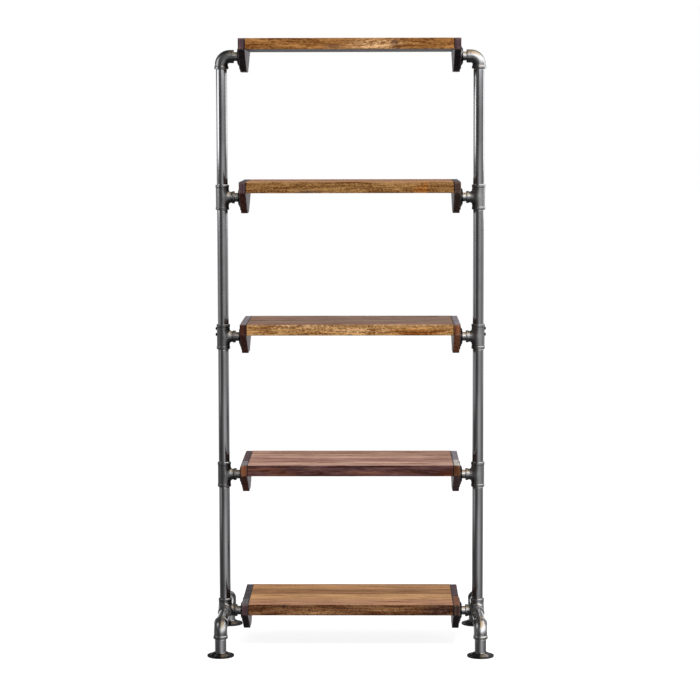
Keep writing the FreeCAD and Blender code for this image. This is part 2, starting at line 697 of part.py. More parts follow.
nodes.append(grouped("shelf_nipples", shelf_nipples))
nodes.append(grouped("foot_nipples", foot_nipples))
nodes.append(grouped("end_plate_dowels", dowels))
nodes.append(grouped("flange_screws", screws))
nodes.append(grouped("slip_joint_screws", slip_screws))

doc.recompute()
for item in doc.Objects:
    if "Invalid" in item.State or "Error" in item.State:
        raise RuntimeError(f"{item.Name} did not compute: {item.State}")
for node in nodes:
    if node.Shape.isNull() or not node.Shape.isValid() or not node.Shape.Solids:
        raise RuntimeError(f"{node.Label} has no valid solid")

os.makedirs("parts", exist_ok=True)
for node in nodes:
    node.Shape.exportStep(f"parts/{node.Label}.step")
    print(f"{node.Label}: {len(node.Shape.Solids)} solids, {node.Shape.Volume:.0f} mm3")
print(f"{len(nodes)} nodes")
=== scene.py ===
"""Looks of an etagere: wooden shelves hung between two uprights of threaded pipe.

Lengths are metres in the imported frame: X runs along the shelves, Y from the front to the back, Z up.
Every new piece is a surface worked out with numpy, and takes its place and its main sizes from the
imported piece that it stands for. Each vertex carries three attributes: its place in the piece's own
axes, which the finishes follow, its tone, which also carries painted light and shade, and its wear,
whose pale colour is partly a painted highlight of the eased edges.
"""

import bmesh
import bpy
import numpy as np
from mathutils import Euler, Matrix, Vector


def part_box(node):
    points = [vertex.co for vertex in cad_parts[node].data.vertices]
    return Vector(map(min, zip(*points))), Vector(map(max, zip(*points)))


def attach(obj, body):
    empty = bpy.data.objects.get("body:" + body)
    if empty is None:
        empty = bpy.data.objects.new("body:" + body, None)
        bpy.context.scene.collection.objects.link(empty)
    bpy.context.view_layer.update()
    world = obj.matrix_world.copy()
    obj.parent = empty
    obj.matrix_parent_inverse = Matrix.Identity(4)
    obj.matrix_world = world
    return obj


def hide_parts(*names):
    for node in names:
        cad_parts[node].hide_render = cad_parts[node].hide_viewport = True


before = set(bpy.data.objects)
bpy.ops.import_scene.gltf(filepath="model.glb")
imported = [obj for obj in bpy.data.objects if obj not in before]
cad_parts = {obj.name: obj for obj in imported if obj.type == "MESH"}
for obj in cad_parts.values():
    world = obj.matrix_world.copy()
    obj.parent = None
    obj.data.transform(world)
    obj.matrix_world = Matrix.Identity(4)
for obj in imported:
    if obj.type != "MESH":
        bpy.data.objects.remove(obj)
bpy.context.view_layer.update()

bl_info = {
    "name": "Pipe Etagere",
    "version": (1, 0, 0),
    "blender": (4, 5, 0),
    "location": "View3D > Sidebar > Etagere",
    "description": "Models and finishes an etagere of wooden shelves on pipe uprights",
    "category": "Object",
}

SHELVES = range(1, 6)
TOP_SHELF, SLIP_SHELF, BASE_SHELF = 1, 3, 5
STAVES = 4
SIDES = {"left": -1, "right": 1}
ENDS = {"front": -1, "rear": 1}
ALONG, REAR, UP = np.eye(3)
HALF_PI = np.pi / 2
# Edges that turn by more than this angle stay sharp.
CREASE = np.radians(35)
# Corners of a piece that lie within this distance are one corner.
WELD = 1e-7
# The direction in which a fitting's branch is worked out, and the easing's longest share of a leg.
BRANCH = (1, 0, 0)
LONGEST_EASING = 0.48
# Painted light and shade: the iron is painted darker on the left (-1) and paler on the right (1), where the
# studio lights it more, as a share of its colour.
PAINTED_IRON_LIGHT = {-1: (0.9, 0.9, 0.9, 1.0), 1: (1.35, 1.35, 1.35, 1.0)}


def linear(code):
    """A colour code such as 9a6a3a as linear red, green and blue."""
    part = np.array([int(code[place:place + 2], 16) for place in (0, 2, 4)]) / 255
    return tuple(float(x) for x in np.where(part <= 0.04045, part / 12.92, ((part + 0.055) / 1.055) ** 2.4))


# Tones of the boards and of the stained end plates.
WOOD_TONES = {
    "honey": "a26e3a", "oak": "9a6f3f", "gold": "cb9b61", "plum": "6b4747", "umber": "784e30",
    "amber": "b8702c", "blush": "dcae7c", "dusk": "3f2a2b", "ash": "927a68", "drift": "957263",
    "rose": "b68a7a", "blossom": "cfa592", "walnut": "b88d78", "tan": "cc9866", "wheat": "dca872",
    "chestnut": "b28156", "cinnamon": "ca9570",
}
# The grey stains stand partly for painted sheen on tops and undersides, and the palest for a painted highlight.
STAIN_TONES = {
    "mulberry": "5a454c", "ink": "2a2129", "rust": "552f27", "bark": "4c3a34", "copper": "8c573c",
    "slate": "48464e", "smoke": "8c8690", "chalk_highlight": "cfccc8", "pewter": "6c6a70",
}
# For each shelf the tone of its front edge, those of its staves' tops from the front to the back, and how
# strong the curly figure of the front edge is. The tops' tones are paler and greyer than the front edges':
# partly the wood, partly painted sheen of tops seen at a low angle. Then the figure's strength on the tops.
SHELF_TONES = {
    1: ("honey", ("tan", "chestnut", "tan", "walnut"), 0.5),
    2: ("oak", ("tan", "chestnut", "rose", "chestnut"), 0.65),
    3: ("gold", ("drift", "ash", "drift", "ash"), 0.6),
    4: ("plum", ("blossom", "rose", "blossom", "walnut"), 0.3),
    5: ("umber", ("cinnamon", "wheat", "chestnut", "tan"), 0.6),
}
TOP_FIGURE = 0.25
# The grain of each shelf and of the end plates: length of its flecks and how far it wanders from a straight
# line, both in metres, and how blotchy it is.
SHELF_GRAIN = {1: (0.008, 0.06, 0.8), 2: (0.005, 0.03, 0.25), 3: (0.007, 0.06, 0.7), 4: (0.02, 0.015, 0.8),
               5: (0.006, 0.03, 0.35)}
PLATE_GRAIN = (0.04, 0.01, 0.4)
# How strong the figure is in patches of pale wood.
PALE_FIGURE = {"blush": 1.0, "tan": 0.9}
# Patches of another tone on the front edges: tone, place along the shelf, place up the edge from its bottom
# as a share, half width and half height.
FRONT_PATCHES = {
    1: (("blush", 0.075, 0.35, 0.075, 0.02), ("dusk", -0.045, 0.25, 0.03, 0.005),
        ("dusk", 0.132, 0.6, 0.012, 0.012), ("dusk", 0.142, 0.05, 0.006, 0.005)),
    2: (("amber", 0.222, 0.5, 0.008, 0.03), ("amber", 0.205, 0.3, 0.02, 0.01),
        ("dusk", -0.12, 0.1, 0.04, 0.006)),
    # Shelf 3's first patch, a pale line along the whole top of its front edge, is a painted highlight of the
    # eased edge.
    3: (("blush", 0.0, 1.0, 0.5, 0.003), ("blush", -0.14, 0.8, 0.1, 0.008),
        ("blush", 0.03, 0.5, 0.09, 0.008), ("dusk", -0.135, 0.0, 0.015, 0.004),
        ("dusk", 0.0, 0.02, 0.01, 0.004), ("amber", 0.2, 0.3, 0.08, 0.012)),
    4: (("copper", -0.25, 0.6, 0.06, 0.005), ("copper", -0.2, 0.25, 0.05, 0.004),
        ("rust", -0.1, 0.05, 0.2, 0.004), ("dusk", -0.15, 0.7, 0.05, 0.006),
        ("dusk", 0.03, 0.8, 0.1, 0.006), ("dusk", 0.2, 0.6, 0.06, 0.005),
        ("copper", 0.05, 0.3, 0.07, 0.003), ("copper", 0.17, 0.4, 0.06, 0.003),
        ("copper", 0.29, 0.2, 0.03, 0.01)),
    5: (("dusk", -0.26, 0.95, 0.012, 0.004), ("dusk", -0.2, 0.9, 0.01, 0.005),
        ("tan", -0.1, 0.3, 0.08, 0.006), ("dusk", 0.27, 0.4, 0.05, 0.03), ("tan", 0.1, 0.5, 0.05, 0.006)),
}
# End plates: the share of a plate's depth at which its two pieces meet, and the tones of the upright edge,
# the sloping edge, the top of the front piece and the top of the rear piece. The sloping edge, which faces
# down, is mostly painted darker than the upright edge as shade; the grey tops are partly stain, partly
# painted sheen, and the palest is a painted highlight.
PLATE_JOINT_SHARES = {"left": 0.29, "right": 0.4}
PLATE_TONES = {
    (1, "left"): ("mulberry", "ink", "mulberry", "slate"),
    (1, "right"): ("mulberry", "ink", "slate", "slate"),
    (2, "left"): ("mulberry", "rust", "slate", "slate"),
    (2, "right"): ("bark", "bark", "slate", "slate"),
    (3, "left"): ("rust", "rust", "smoke", "smoke"),
    (3, "right"): ("copper", "copper", "smoke", "smoke"),
    (4, "left"): ("copper", "rust", "smoke", "mulberry"),
    (4, "right"): ("umber", "mulberry", "chalk_highlight", "smoke"),
    (5, "left"): ("mulberry", "ink", "pewter", "slate"),
    (5, "right"): ("bark", "ink", "copper", "mulberry"),
}


def length(name, description, default):
    return bpy.props.FloatProperty(name=name, description=description, default=default, min=0.0,
                                   precision=5, unit="LENGTH")


def share(name, description, default):
    return bpy.props.FloatProperty(name=name, description=description, default=default, min=0.0,
                                   max=1.0, subtype="FACTOR")


def tint(name, description, code):
    return bpy.props.FloatVectorProperty(name=name, description=description, default=linear(code),
                                         min=0.0, max=1.0, subtype="COLOR")


def brightness(name, description, default):
    return bpy.props.FloatProperty(name=name, description=description, default=default, min=0.0)


class EtagereWood(bpy.types.PropertyGroup):
    """Sizes and colours of the boards and the end plates."""

    edge_round: length("Edge rounding", "How far the outer edges of the wood are eased", 0.0016)
    joint_ease: length("Joint easing", "How far the edges of glued staves are eased", 0.0004)
    edge_wander: length("Edge wander", "How much hand sanding varies the easing", 0.0005)
    plate_corner: length("Plate corner", "Rounding of an end plate's outline at its corners", 0.0035)
    plate_foot_width: length("Plate foot width", "Width of an end plate at its bottom", 0.075)
    # Grey-violet of the end plates' inner faces: a painted sheen.
    plate_face: tint("Plate face", "The broad inner faces of the end plates", "756d78")
    # Painted shade in the joints of the end plates, against the boards and between their pieces.
    joint_shade: tint("Joint", "Dirt in the joint between a board and an end plate", "171113")
    joint_reach: length("Joint reach", "How far from the joint the wood is dark", 0.0014)
    # Pale worn colour: partly real wear, partly a painted highlight where the eased edges catch the light.
    worn: tint("Worn edge", "Where the stain is rubbed off the edges", "a98d7c")
    sheen: share("Clear coat", "Strength of the clear coat on the boards", 0.03)
    plate_sheen: share("Plate clear coat", "Strength of the clear coat on the end plates", 0.15)


for tone, code in (WOOD_TONES | STAIN_TONES).items():
    EtagereWood.__annotations__[f"tone_{tone}"] = tint(f"{tone.title()} wood", f"Wood of the {tone} tone",
                                                       code)


class EtagereMetal(bpy.types.PropertyGroup):
    """Sizes and colours of the pipes, fittings and flanges."""

    pipe_wall: length("Pipe wall", "Wall of the large pipe", 0.0032)
    nipple_wall: length("Nipple wall", "Wall of the small pipe", 0.0027)
    pipe_bevel: length("Pipe bevel", "Bevel at a pipe's ends", 0.0008)
    thread_pitch: length("Thread pitch", "From one turn of the pipe thread to the next", 0.00231)
    thread_depth: length("Thread depth", "Depth of the pipe thread", 0.0004)
    thread_bared: length("Bared thread", "Thread that shows between a fitting and the plain pipe", 0.0032)
    fitting_wall: length("Fitting wall", "From the pipe's surface to the body of a tee", 0.0029)
    branch_wall: length("Branch wall", "From the nipple's surface to the body of the branch", 0.00305)
    branch_band: length("Branch band", "Rise of the band round a branch", 0.002)
    elbow_wall: length("Elbow wall", "From the pipe's surface to the body of an elbow", 0.00295)
    elbow_crotch: length("Elbow crotch", "Radius of the inner corner of an elbow", 0.0047)
    band_length: length("Band length", "Length of the band at each mouth of a fitting", 0.0075)
    lip: length("Lip", "Rounding of a fitting's mouth", 0.0009)
    socket_depth: length("Socket depth", "How deep the large pipe sits in a fitting", 0.015)
    branch_depth: length("Branch socket depth", "How deep the nipple sits in a fitting", 0.013)
    seat: length("Seat", "Gap between a pipe and its socket", 0.00005)
    crotch_blend: length("Crotch blend", "How softly two limbs of a casting run together", 0.003)
    flange_cone_foot: length("Flange cone foot", "Width of the foot of a flange's cone", 0.061)
    shelf_hub: length("Shelf flange hub", "Width of a shelf flange's hub at its top", 0.044)
    foot_hub: length("Foot flange hub", "Width of a foot flange's hub at its top", 0.045)
    flange_rim: length("Flange rim", "Thickness of a flange at its rim", 0.004)
    shelf_screw_circle: length("Shelf screw circle", "Circle of the shelf flange's screw holes", 0.0695)
    shelf_screw_hole: length("Shelf screw hole", "Width of a shelf flange's screw hole", 0.0044)
    foot_screw_circle: length("Foot screw circle", "Circle of the foot flange's screw holes", 0.07)
    foot_screw_hole: length("Foot screw hole", "Width of a foot flange's screw hole", 0.0055)
    pipe_steel: tint("Pipe steel", "Polished dark steel of the pipes", "a2a2a4")
    fitting_iron: tint("Fitting iron", "Malleable iron of the tees and elbows", "828283")
    flange_iron: tint("Flange iron", "Black iron of the flanges", "4c4c4e")
    screw_steel: tint("Screw steel", "Blackened steel of the screws", "0b0b0c")


class EtagereStage(bpy.types.PropertyGroup):
    """The floor, the light and the camera."""

    floor_reach: length("Floor reach", "Half the width of the floor", 40.0)
    floor_colour: tint("Floor", "Pale floor", "bebebe")
    floor_glow: share("Floor glow", "Light from the floor to the camera besides what falls on it", 0.86)
    overhead: share("Overhead light", "Brightness of the studio above the object", 0.3)
    key_radiance: brightness("Key light", "Brightness of the lamp over the camera", 26.5)
    panel_radiance: brightness("Panel", "Brightness that metal mirrors over the right side", 4.0)
    side_radiance: brightness("Side light", "Brightness of the lamps at the sides", 2.4)
    camera_place: bpy.props.FloatVectorProperty(name="Camera place", description="Where the camera stands",
                                                default=(0.0774, -6.7272, 1.5967), unit="LENGTH")
    camera_turn: bpy.props.FloatVectorProperty(name="Camera turn",
                                               description="Pitch, roll and yaw of the camera",
                                               default=(1.479218, 0.002064, 0.011604), subtype="EULER")
    camera_lens: bpy.props.FloatProperty(name="Camera lens", description="Focal length in millimetres",
                                         default=114.6)
    camera_shift: bpy.props.FloatProperty(name="Camera shift",
                                          description="Upward shift, as a share of the width",
                                          default=-0.04)


def wood():
    return bpy.context.scene.etagere_wood


def metal():
    return bpy.context.scene.etagere_metal


def box_of(source):
    """Lowest corner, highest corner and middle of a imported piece."""
    low, high = (np.array(corner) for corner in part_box(source))
    return low, high, (low + high) / 2


def radius_of(source):
    """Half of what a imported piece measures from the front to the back."""
    low, high, _ = box_of(source)
    return (high[1] - low[1]) / 2


PIPE, NIPPLE = radius_of("left_upright_5_to_4"), radius_of("shelf_nipples")


# The numpy surfaces


def eased(points, setbacks, steps=5, ring=False):
    """An outline with rounded corners. Each corner gives way to a parabola that leaves one leg and joins
    the next at the same distance from the corner."""
    points = np.asarray(points, float)
    corners = range(len(points)) if ring else range(1, len(points) - 1)
    t = np.linspace(0, 1, steps + 1)[:, None]
    parts = []
    for corner, setback in zip(corners, np.broadcast_to(setbacks, len(corners))):
        here = points[corner]
        legs = [points[corner - 1] - here, points[(corner + 1) % len(points)] - here]
        spans = [np.linalg.norm(leg) for leg in legs]
        reach = min(setback, LONGEST_EASING * min(spans))
        first, last = (here + leg / span * reach for leg, span in zip(legs, spans))
        parts.append((1 - t) ** 2 * first + 2 * t * (1 - t) * here + t ** 2 * last)
    return np.concatenate(parts if ring else [points[:1], *parts, points[-1:]])


def across(axis):
    """Two directions that make a right-handed set with an axis of the frame."""
    first = np.roll(np.abs(axis), 1)
    return first, np.cross(axis, first)


def around(angle, first, second):
    """The direction at an angle from the first of two directions towards the second."""
    return np.cos(angle)[..., None] * first + np.sin(angle)[..., None] * second


def wave(place, seed, turns):
    """A slow wander between -1 and 1: three sines of rising rate and seeded phase."""
    phases = np.random.default_rng(seed).uniform(0, 2 * np.pi, 3)
    rates = np.array([1.0, 2.3, 4.1]) * turns
    return sum(np.sin(2 * np.pi * rate * place + phase) for rate, phase in zip(rates, phases)) / 3


def rise(value, start, end):
    """0 before the start, 1 past the end and a straight line between."""
    return np.clip((value - start) / (end - start), 0, 1)


def blend(first, second, part):
    return first * (1 - part) + second * part


def quads(rows, columns, ring_rows, ring_columns):
    """Corner numbers of the faces of a grid, whose last row or column may join its first."""
    index = np.arange(rows * columns).reshape(rows, columns)
    if ring_rows:
        index = np.vstack((index, index[:1]))
    if ring_columns:
        index = np.hstack((index, index[:, :1]))
    return np.stack((index[:-1, :-1], index[:-1, 1:], index[1:, 1:], index[1:, :-1]), axis=-1).reshape(-1, 4)


def shell(grids, local, tone=(1, 1, 1, 1), wear=0.0):
    """One closed shell of grids, each given as (points, rows join, columns join). Corners that fall on one
    place are merged, and faces that shrink to a line there are left out. A tone is a colour and the strength
    of the wood's figure; on metal it multiplies the finish's colour. Tone and wear may be functions."""
    points = np.concatenate([grid[0].reshape(-1, 3) for grid in grids])
    starts = np.cumsum([0] + [grid[0][..., 0].size for grid in grids])
    faces = np.concatenate([quads(*spots.shape[:2], *rings) + start
                            for (spots, *rings), start in zip(grids, starts)])
    _, kept, welded = np.unique(np.round(points / WELD), axis=0, return_index=True, return_inverse=True)
    faces = welded.reshape(-1)[faces]
    same = faces == np.roll(faces, -1, axis=1)
    pinches = same.sum(1)
    pinched = faces[pinches == 1]
    lost = np.argmax(same[pinches == 1], axis=1)
    triangles = np.stack([pinched[np.arange(len(pinched)), (lost + step) % 4] for step in (1, 2, 3)], axis=1)
    points = points[kept]
    tones, wears = (np.broadcast_to(value(points) if callable(value) else value, shape)
                    for value, shape in ((tone, (len(points), 4)), (wear, len(points))))
    return points, faces[pinches == 0], triangles, local(points), tones, wears


def check_closed(name, loops, lengths):
    """Every edge of a closed piece has exactly two faces."""
    ends = np.cumsum(lengths)
    following = np.roll(loops, -1)
    following[ends - 1] = loops[ends - lengths]
    edges = np.sort(np.stack((loops, following), axis=1), axis=1)
    _, uses = np.unique(edges, axis=0, return_counts=True)
    if (uses != 2).any():
        raise RuntimeError(f"{name} has {int((uses != 2).sum())} edges that are open or shared")


def link_object(name, data):
    made = bpy.data.objects.new(name, data)
    bpy.context.scene.collection.objects.link(made)
    return made


def make_piece(name, shells, material, nodes):
    """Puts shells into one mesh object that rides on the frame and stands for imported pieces."""
    starts = np.cumsum([0] + [len(one[0]) for one in shells])
    points, places, tones, wears = (np.concatenate([one[part] for one in shells]) for part in (0, 3, 4, 5))
    whole, pinched = (np.concatenate([one[part] + start for one, start in zip(shells, starts)])
                      for part in (1, 2))
    loops = np.concatenate((whole.reshape(-1), pinched.reshape(-1)))
    lengths = np.repeat((4, 3), (len(whole), len(pinched)))
    check_closed(name, loops, lengths)
    mesh = bpy.data.meshes.new(name)
    mesh.vertices.add(len(points))
    mesh.vertices.foreach_set("co", points.astype(np.float32).reshape(-1))
    mesh.loops.add(len(loops))
    mesh.loops.foreach_set("vertex_index", loops.astype(np.int32))
    mesh.polygons.add(len(lengths))
    mesh.polygons.foreach_set("loop_start", (np.cumsum(lengths) - lengths).astype(np.int32))
    mesh.update(calc_edges=True)
    for attribute, kind, key, values in (("own_place", "FLOAT_VECTOR", "vector", places),
                                         ("tone", "FLOAT_COLOR", "color", tones),
                                         ("wear", "FLOAT", "value", wears)):
        data = mesh.attributes.new(attribute, kind, "POINT").data
        data.foreach_set(key, values.astype(np.float32).reshape(-1))
    work = bmesh.new()
    work.from_mesh(mesh)
    bmesh.ops.recalc_face_normals(work, faces=work.faces)
    work.to_mesh(mesh)
    work.free()
    mesh.polygons.foreach_set("use_smooth", np.ones(len(mesh.polygons), bool))
    mesh.set_sharp_from_angle(angle=CREASE)
    mesh.materials.append(material)
    piece = link_object(name, mesh)
    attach(piece, "root")
    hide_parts(*nodes)
    return piece


def turned(profile, centre, axis, groove, pitch, columns=72):
    """Surface of revolution: each (along, radius) point of a profile is swept round the axis. The groove is a
    depth for each point, cut as a screw thread: it follows the distance along the axis, less one pitch for
    each turn."""
    along, radius = profile[:, :1], profile[:, 1:]
    angle = np.linspace(0, 2 * np.pi, columns, endpoint=False)[None]
    turn = along / pitch - angle / (2 * np.pi)
    radius = radius - groove[:, None] * 2 * np.abs(turn - np.floor(turn) - 0.5)
    points = centre + along[..., None] * axis + radius[..., None] * around(angle, *across(axis))
    return points, True, True


def own_axes(centre, axis):
    """Gives each point its place seen from a centre, with the axis as third coordinate."""
    return lambda points: (points - centre) @ np.column_stack((*across(axis), axis))


def pipe_shell(start, axis, run, radius, wall, bares=(0, 0), tone=(1, 1, 1, 1), turn_rows=8):
    """A pipe: bevelled ends, plain bore, and a thread that fades out where it leaves each socket. The bares
    are how far in from each end the thread stops; none leaves that end plain."""
    sizes = metal()
    bevel, pitch, bared = sizes.pipe_bevel, sizes.thread_pitch, sizes.thread_bared
    rows = [(0.0, radius - bevel, 0.0), (bevel, radius, 0.0)]
    zones = []
    if bares[0]:
        zones.append((bares[0] - bared - pitch, bares[0], 1))
    if bares[1]:
        zones.append((run - bares[1], run - bares[1] + bared + pitch, -1))
    for low, high, sense in zones:
        along = np.linspace(low, high, int((high - low) / pitch * turn_rows) + 1)
        to_pipe, to_end = (high - along, along - low)[::sense]
        fade = rise(to_pipe, 0, bared / 2) * rise(to_end, 0, pitch / 4)
        rows += [(place, radius, sizes.thread_depth * part) for place, part in zip(along, fade)]
    rows += [(run - bevel, radius, 0.0), (run, radius - bevel, 0.0), (run, radius - wall, 0.0),
             (0.0, radius - wall, 0.0)]
    rows = np.array(rows)
    return shell([turned(rows[:, :2], start, axis, rows[:, 2], pitch)], own_axes(start, axis), tone)


def mouth_profile(reach, body, band, socket, bore, depth):
    """Profile of one limb of a fitting, from its plain body over its band and round the lip of its mouth,
    then in through the socket to the bore. Also how far each point has come from outside to inside."""
    sizes = metal()
    lip, rising, start = sizes.lip, band - body, reach - sizes.band_length
    tip, floor = (reach, (band + socket) / 2), reach - depth
    outer = [(start - 2 * rising - lip, body), (start - rising, body), (start, band), (reach, band), tip]
    inner = [tip, (reach, socket), (floor, socket), (floor, bore), (floor - lip, bore)]
    outer = eased(outer, [rising, rising, lip])
    inner = eased(inner, [lip / 2, lip / 4, lip / 4])
    profile = np.concatenate((outer, inner[1:]))
    return profile, np.concatenate((np.zeros(len(outer)), np.linspace(0, 1, len(inner))[1:]))


def run_together(points, limbs, steps=6, least_slope=0.2):
    """Moves points onto the blend of several round limbs, which is where the sum over the limbs of
    exp(-distance / softness) is one. Each limb is (axis, radius, goes through); one that doesn't go through
    loses its weight smoothly on the far side of the centre."""
    softness = metal().crotch_blend
    for _ in range(steps):
        total, slope = 0.0, 0.0
        for axis, radius, through in limbs:
            along = points @ axis
            facing = 1.0
            if not through:
                facing = rise(along, -radius / 2, radius / 2)
                along = np.maximum(along, 0)
            off = points - along[..., None] * axis
            distance = np.linalg.norm(off, axis=-1)
            weight = np.exp(-(distance - radius) / softness) * facing ** 2 * (3 - 2 * facing)
            total = total + weight
            slope = slope + weight[..., None] * off / distance[..., None]
        slope = slope / total[..., None]
        move = softness * np.log(total) / np.maximum((slope ** 2).sum(-1), least_slope)
        points = points + move[..., None] * slope
    return points


def limb_grid(axis, outer_loop, inner_loop, profile, passage, limbs, rows=9):
    """One limb of a casting, from the seam where its outside meets the other limbs, over its mouth, to the
    seam where its bore meets theirs. Seam loops run anticlockwise seen from the mouth, so the rows between
    them are circles whose angles go over from those of the outer loop to those of the inner one."""
    first, second = across(axis)
    outer, inner = (np.unwrap(np.arctan2(loop @ second, loop @ first)) for loop in (outer_loop, inner_loop))
    inner = inner + 2 * np.pi * np.round((outer - inner).mean() / (2 * np.pi))
    t = np.linspace(0, 1, rows)[:-1, None, None]
    body = outer_loop + t * (profile[0, 0] - outer_loop @ axis)[:, None] * axis
    mouth = profile[:, :1, None] * axis
    mouth = mouth + profile[:, 1:, None] * around(outer + passage[:, None] * (inner - outer), first, second)
    bore = inner_loop + t[::-1] * (profile[-1, 0] - inner_loop @ axis)[:, None] * axis
    return np.concatenate((run_together(body, limbs), mouth, bore)), False, True


def joined(*arcs):
    """A closed loop of arcs, each of which starts where the one before ends."""
    return np.concatenate([arc[:-1] for arc in arcs])


def tee_loops(run, branch, count=14):
    """Seams between the limbs of a tee whose run lies along Z and whose branch points along X. Run and branch
    meet where both are at their radius from their own axes; the run's halves meet in the plane Z = 0."""
    t = np.linspace(-HALF_PI, HALF_PI, 2 * count + 1)
    y = branch * np.sin(t)
    upper = np.column_stack((np.sqrt(run ** 2 - y ** 2), y, branch * np.cos(t)))
    lower = upper * (1, 1, -1)
    side = np.arcsin(branch / run)
    turn = np.linspace(side, 2 * np.pi - side, 2 * count + 1)
    back = np.column_stack((run * np.cos(turn), run * np.sin(turn), 0 * turn))
    return {
        (0, 0, 1): joined(upper, back),
        (0, 0, -1): joined(lower, back)[::-1],
        BRANCH: joined(upper[::-1], lower),
    }


def base_loops(run, branch, count=12):
    """Seams between the limbs of a base fitting, whose run lies along Y, with one limb up along Z and the
    branch along X. Every two limbs meet where a point is at both their radii from their own axes."""
    far = np.sqrt(run ** 2 - (branch / np.sqrt(2)) ** 2)
    t = np.linspace(0, np.arccos(-far / run), 2 * count + 1)
    up_rear = np.column_stack((-run * np.cos(t), run * np.sin(t), run * np.sin(t)))
    t = np.linspace(np.pi / 4, -HALF_PI, 2 * count + 1)
    y, z = branch * np.cos(t), branch * np.sin(t)
    rear_branch = np.column_stack((np.sqrt(run ** 2 - z ** 2), y, z))
    t = np.linspace(np.pi / 4, 3 * np.pi / 4, count + 1)
    y, z = branch * np.cos(t), branch * np.sin(t)
    up_branch = np.column_stack((np.sqrt(run ** 2 - y ** 2), y, z))
    t = np.linspace(np.pi, 2 * np.pi - np.arcsin(branch / run), 2 * count + 1)
    under = np.column_stack((run * np.cos(t), 0 * t, run * np.sin(t)))
    up_front, front_branch = up_rear * (1, -1, 1), rear_branch * (1, -1, 1)
    return {
        (0, 0, 1): joined(up_front, up_branch[::-1], up_rear[::-1]),
        (0, 1, 0): joined(up_rear, rear_branch, under[::-1]),
        (0, -1, 0): joined(under, front_branch[::-1], up_front[::-1]),
        BRANCH: joined(up_branch, front_branch, rear_branch[::-1]),
    }


def casting_shell(centre, side, loops_of, through, reach, band):
    """A tee or base fitting as one closed shell, whose run goes through it along an axis. It is worked out
    with its branch along X and mirrored for the right side, where the branch points the other way."""
    sizes = metal()
    body, bore = PIPE + sizes.fitting_wall, PIPE - sizes.pipe_wall
    branch, branch_bore = NIPPLE + sizes.branch_wall, NIPPLE - sizes.nipple_wall
    outer, inner = loops_of(body, branch), loops_of(bore, branch_bore)
    limbs = [(through, body, True)]
    limbs += [(np.array(axis), branch if axis == BRANCH else body, False) for axis in outer
              if not through @ np.array(axis)]
    run_mouth = mouth_profile(reach, body, band, PIPE + sizes.seat, bore, sizes.socket_depth)
    branch_mouth = mouth_profile(reach, branch, branch + sizes.branch_band, NIPPLE + sizes.seat, branch_bore,
                                 sizes.branch_depth)
    grids = []
    for axis, loop in outer.items():
        mouth = branch_mouth if axis == BRANCH else run_mouth
        points, *rings = limb_grid(np.array(axis, float), loop, inner[axis], *mouth, limbs)
        grids.append((centre + points * (-side, 1, 1), *rings))
    # The tone paints the right side's iron paler and the left's darker, as light and shade.
    return shell(grids, own_axes(centre, through), PAINTED_IRON_LIGHT[side])


def bend_point(distance, radius, angle, leg, bend, down, out):
    """A point of a tube whose centre line comes up a straight leg, turns through a quarter circle and leaves
    along another leg. It is given by its distance along that line, its radius from it and its angle round
    it."""
    turn = np.clip((distance - leg) / bend, 0, HALF_PI)
    before = np.minimum(distance - leg, 0)
    after = np.maximum(distance - leg - HALF_PI * bend, 0)
    normal = -out * np.cos(turn)[..., None] - down * np.sin(turn)[..., None]
    line = (down + out) * bend + bend * normal - before[..., None] * down + after[..., None] * out
    return line + radius[..., None] * around(angle, normal, np.cross(down, out))


def elbow_shell(centre, out, reach, side, reducing, columns=72):
    """An elbow whose lower mouth takes the large pipe; the mouth at its side takes the nipple if the elbow
    is a reducing one. Its outside and its bore are tubes round the same bend, joined over the lips of the two
    mouths."""
    sizes = metal()
    body, band = PIPE + sizes.elbow_wall, radius_of("shelf_1_left_elbow")
    taken, depth, wall, side_band = PIPE, sizes.socket_depth, sizes.pipe_wall, band
    if reducing:
        taken, depth, wall, side_band = NIPPLE, sizes.branch_depth, sizes.nipple_wall, body + sizes.seat
    bore = taken - wall
    bend = body + sizes.elbow_crotch
    leg = reach - bend
    whole = 2 * leg + HALF_PI * bend
    lower, _ = mouth_profile(reach, body, band, PIPE + sizes.seat, bore, sizes.socket_depth)
    upper, _ = mouth_profile(reach, body, side_band, taken + sizes.seat, bore, depth)
    turns = np.linspace(leg, whole - leg, 25)
    outer = np.column_stack((turns, np.full(len(turns), body)))
    inner = np.column_stack((turns[::-1], np.full(len(turns), bore)))
    upper = np.column_stack((whole - reach + upper[:, 0], upper[:, 1]))
    lower = np.column_stack((reach - lower[:, 0], lower[:, 1]))[::-1]
    upper = upper[(upper[:, 0] > whole - leg) | (upper[:, 1] < body)]
    lower = lower[(lower[:, 0] < leg) | (lower[:, 1] < body)]
    distance, radius = np.concatenate((outer, upper, inner, lower)).T[..., None]
    angle = np.linspace(0, 2 * np.pi, columns, endpoint=False) + 0 * distance
    points = bend_point(distance + 0 * angle, radius + 0 * angle, angle, leg, bend, -UP, out)
    # The tone paints the right side's iron paler and the left's darker, as light and shade.
    return shell([(centre + points, True, True)], lambda place: place - centre, PAINTED_IRON_LIGHT[side])


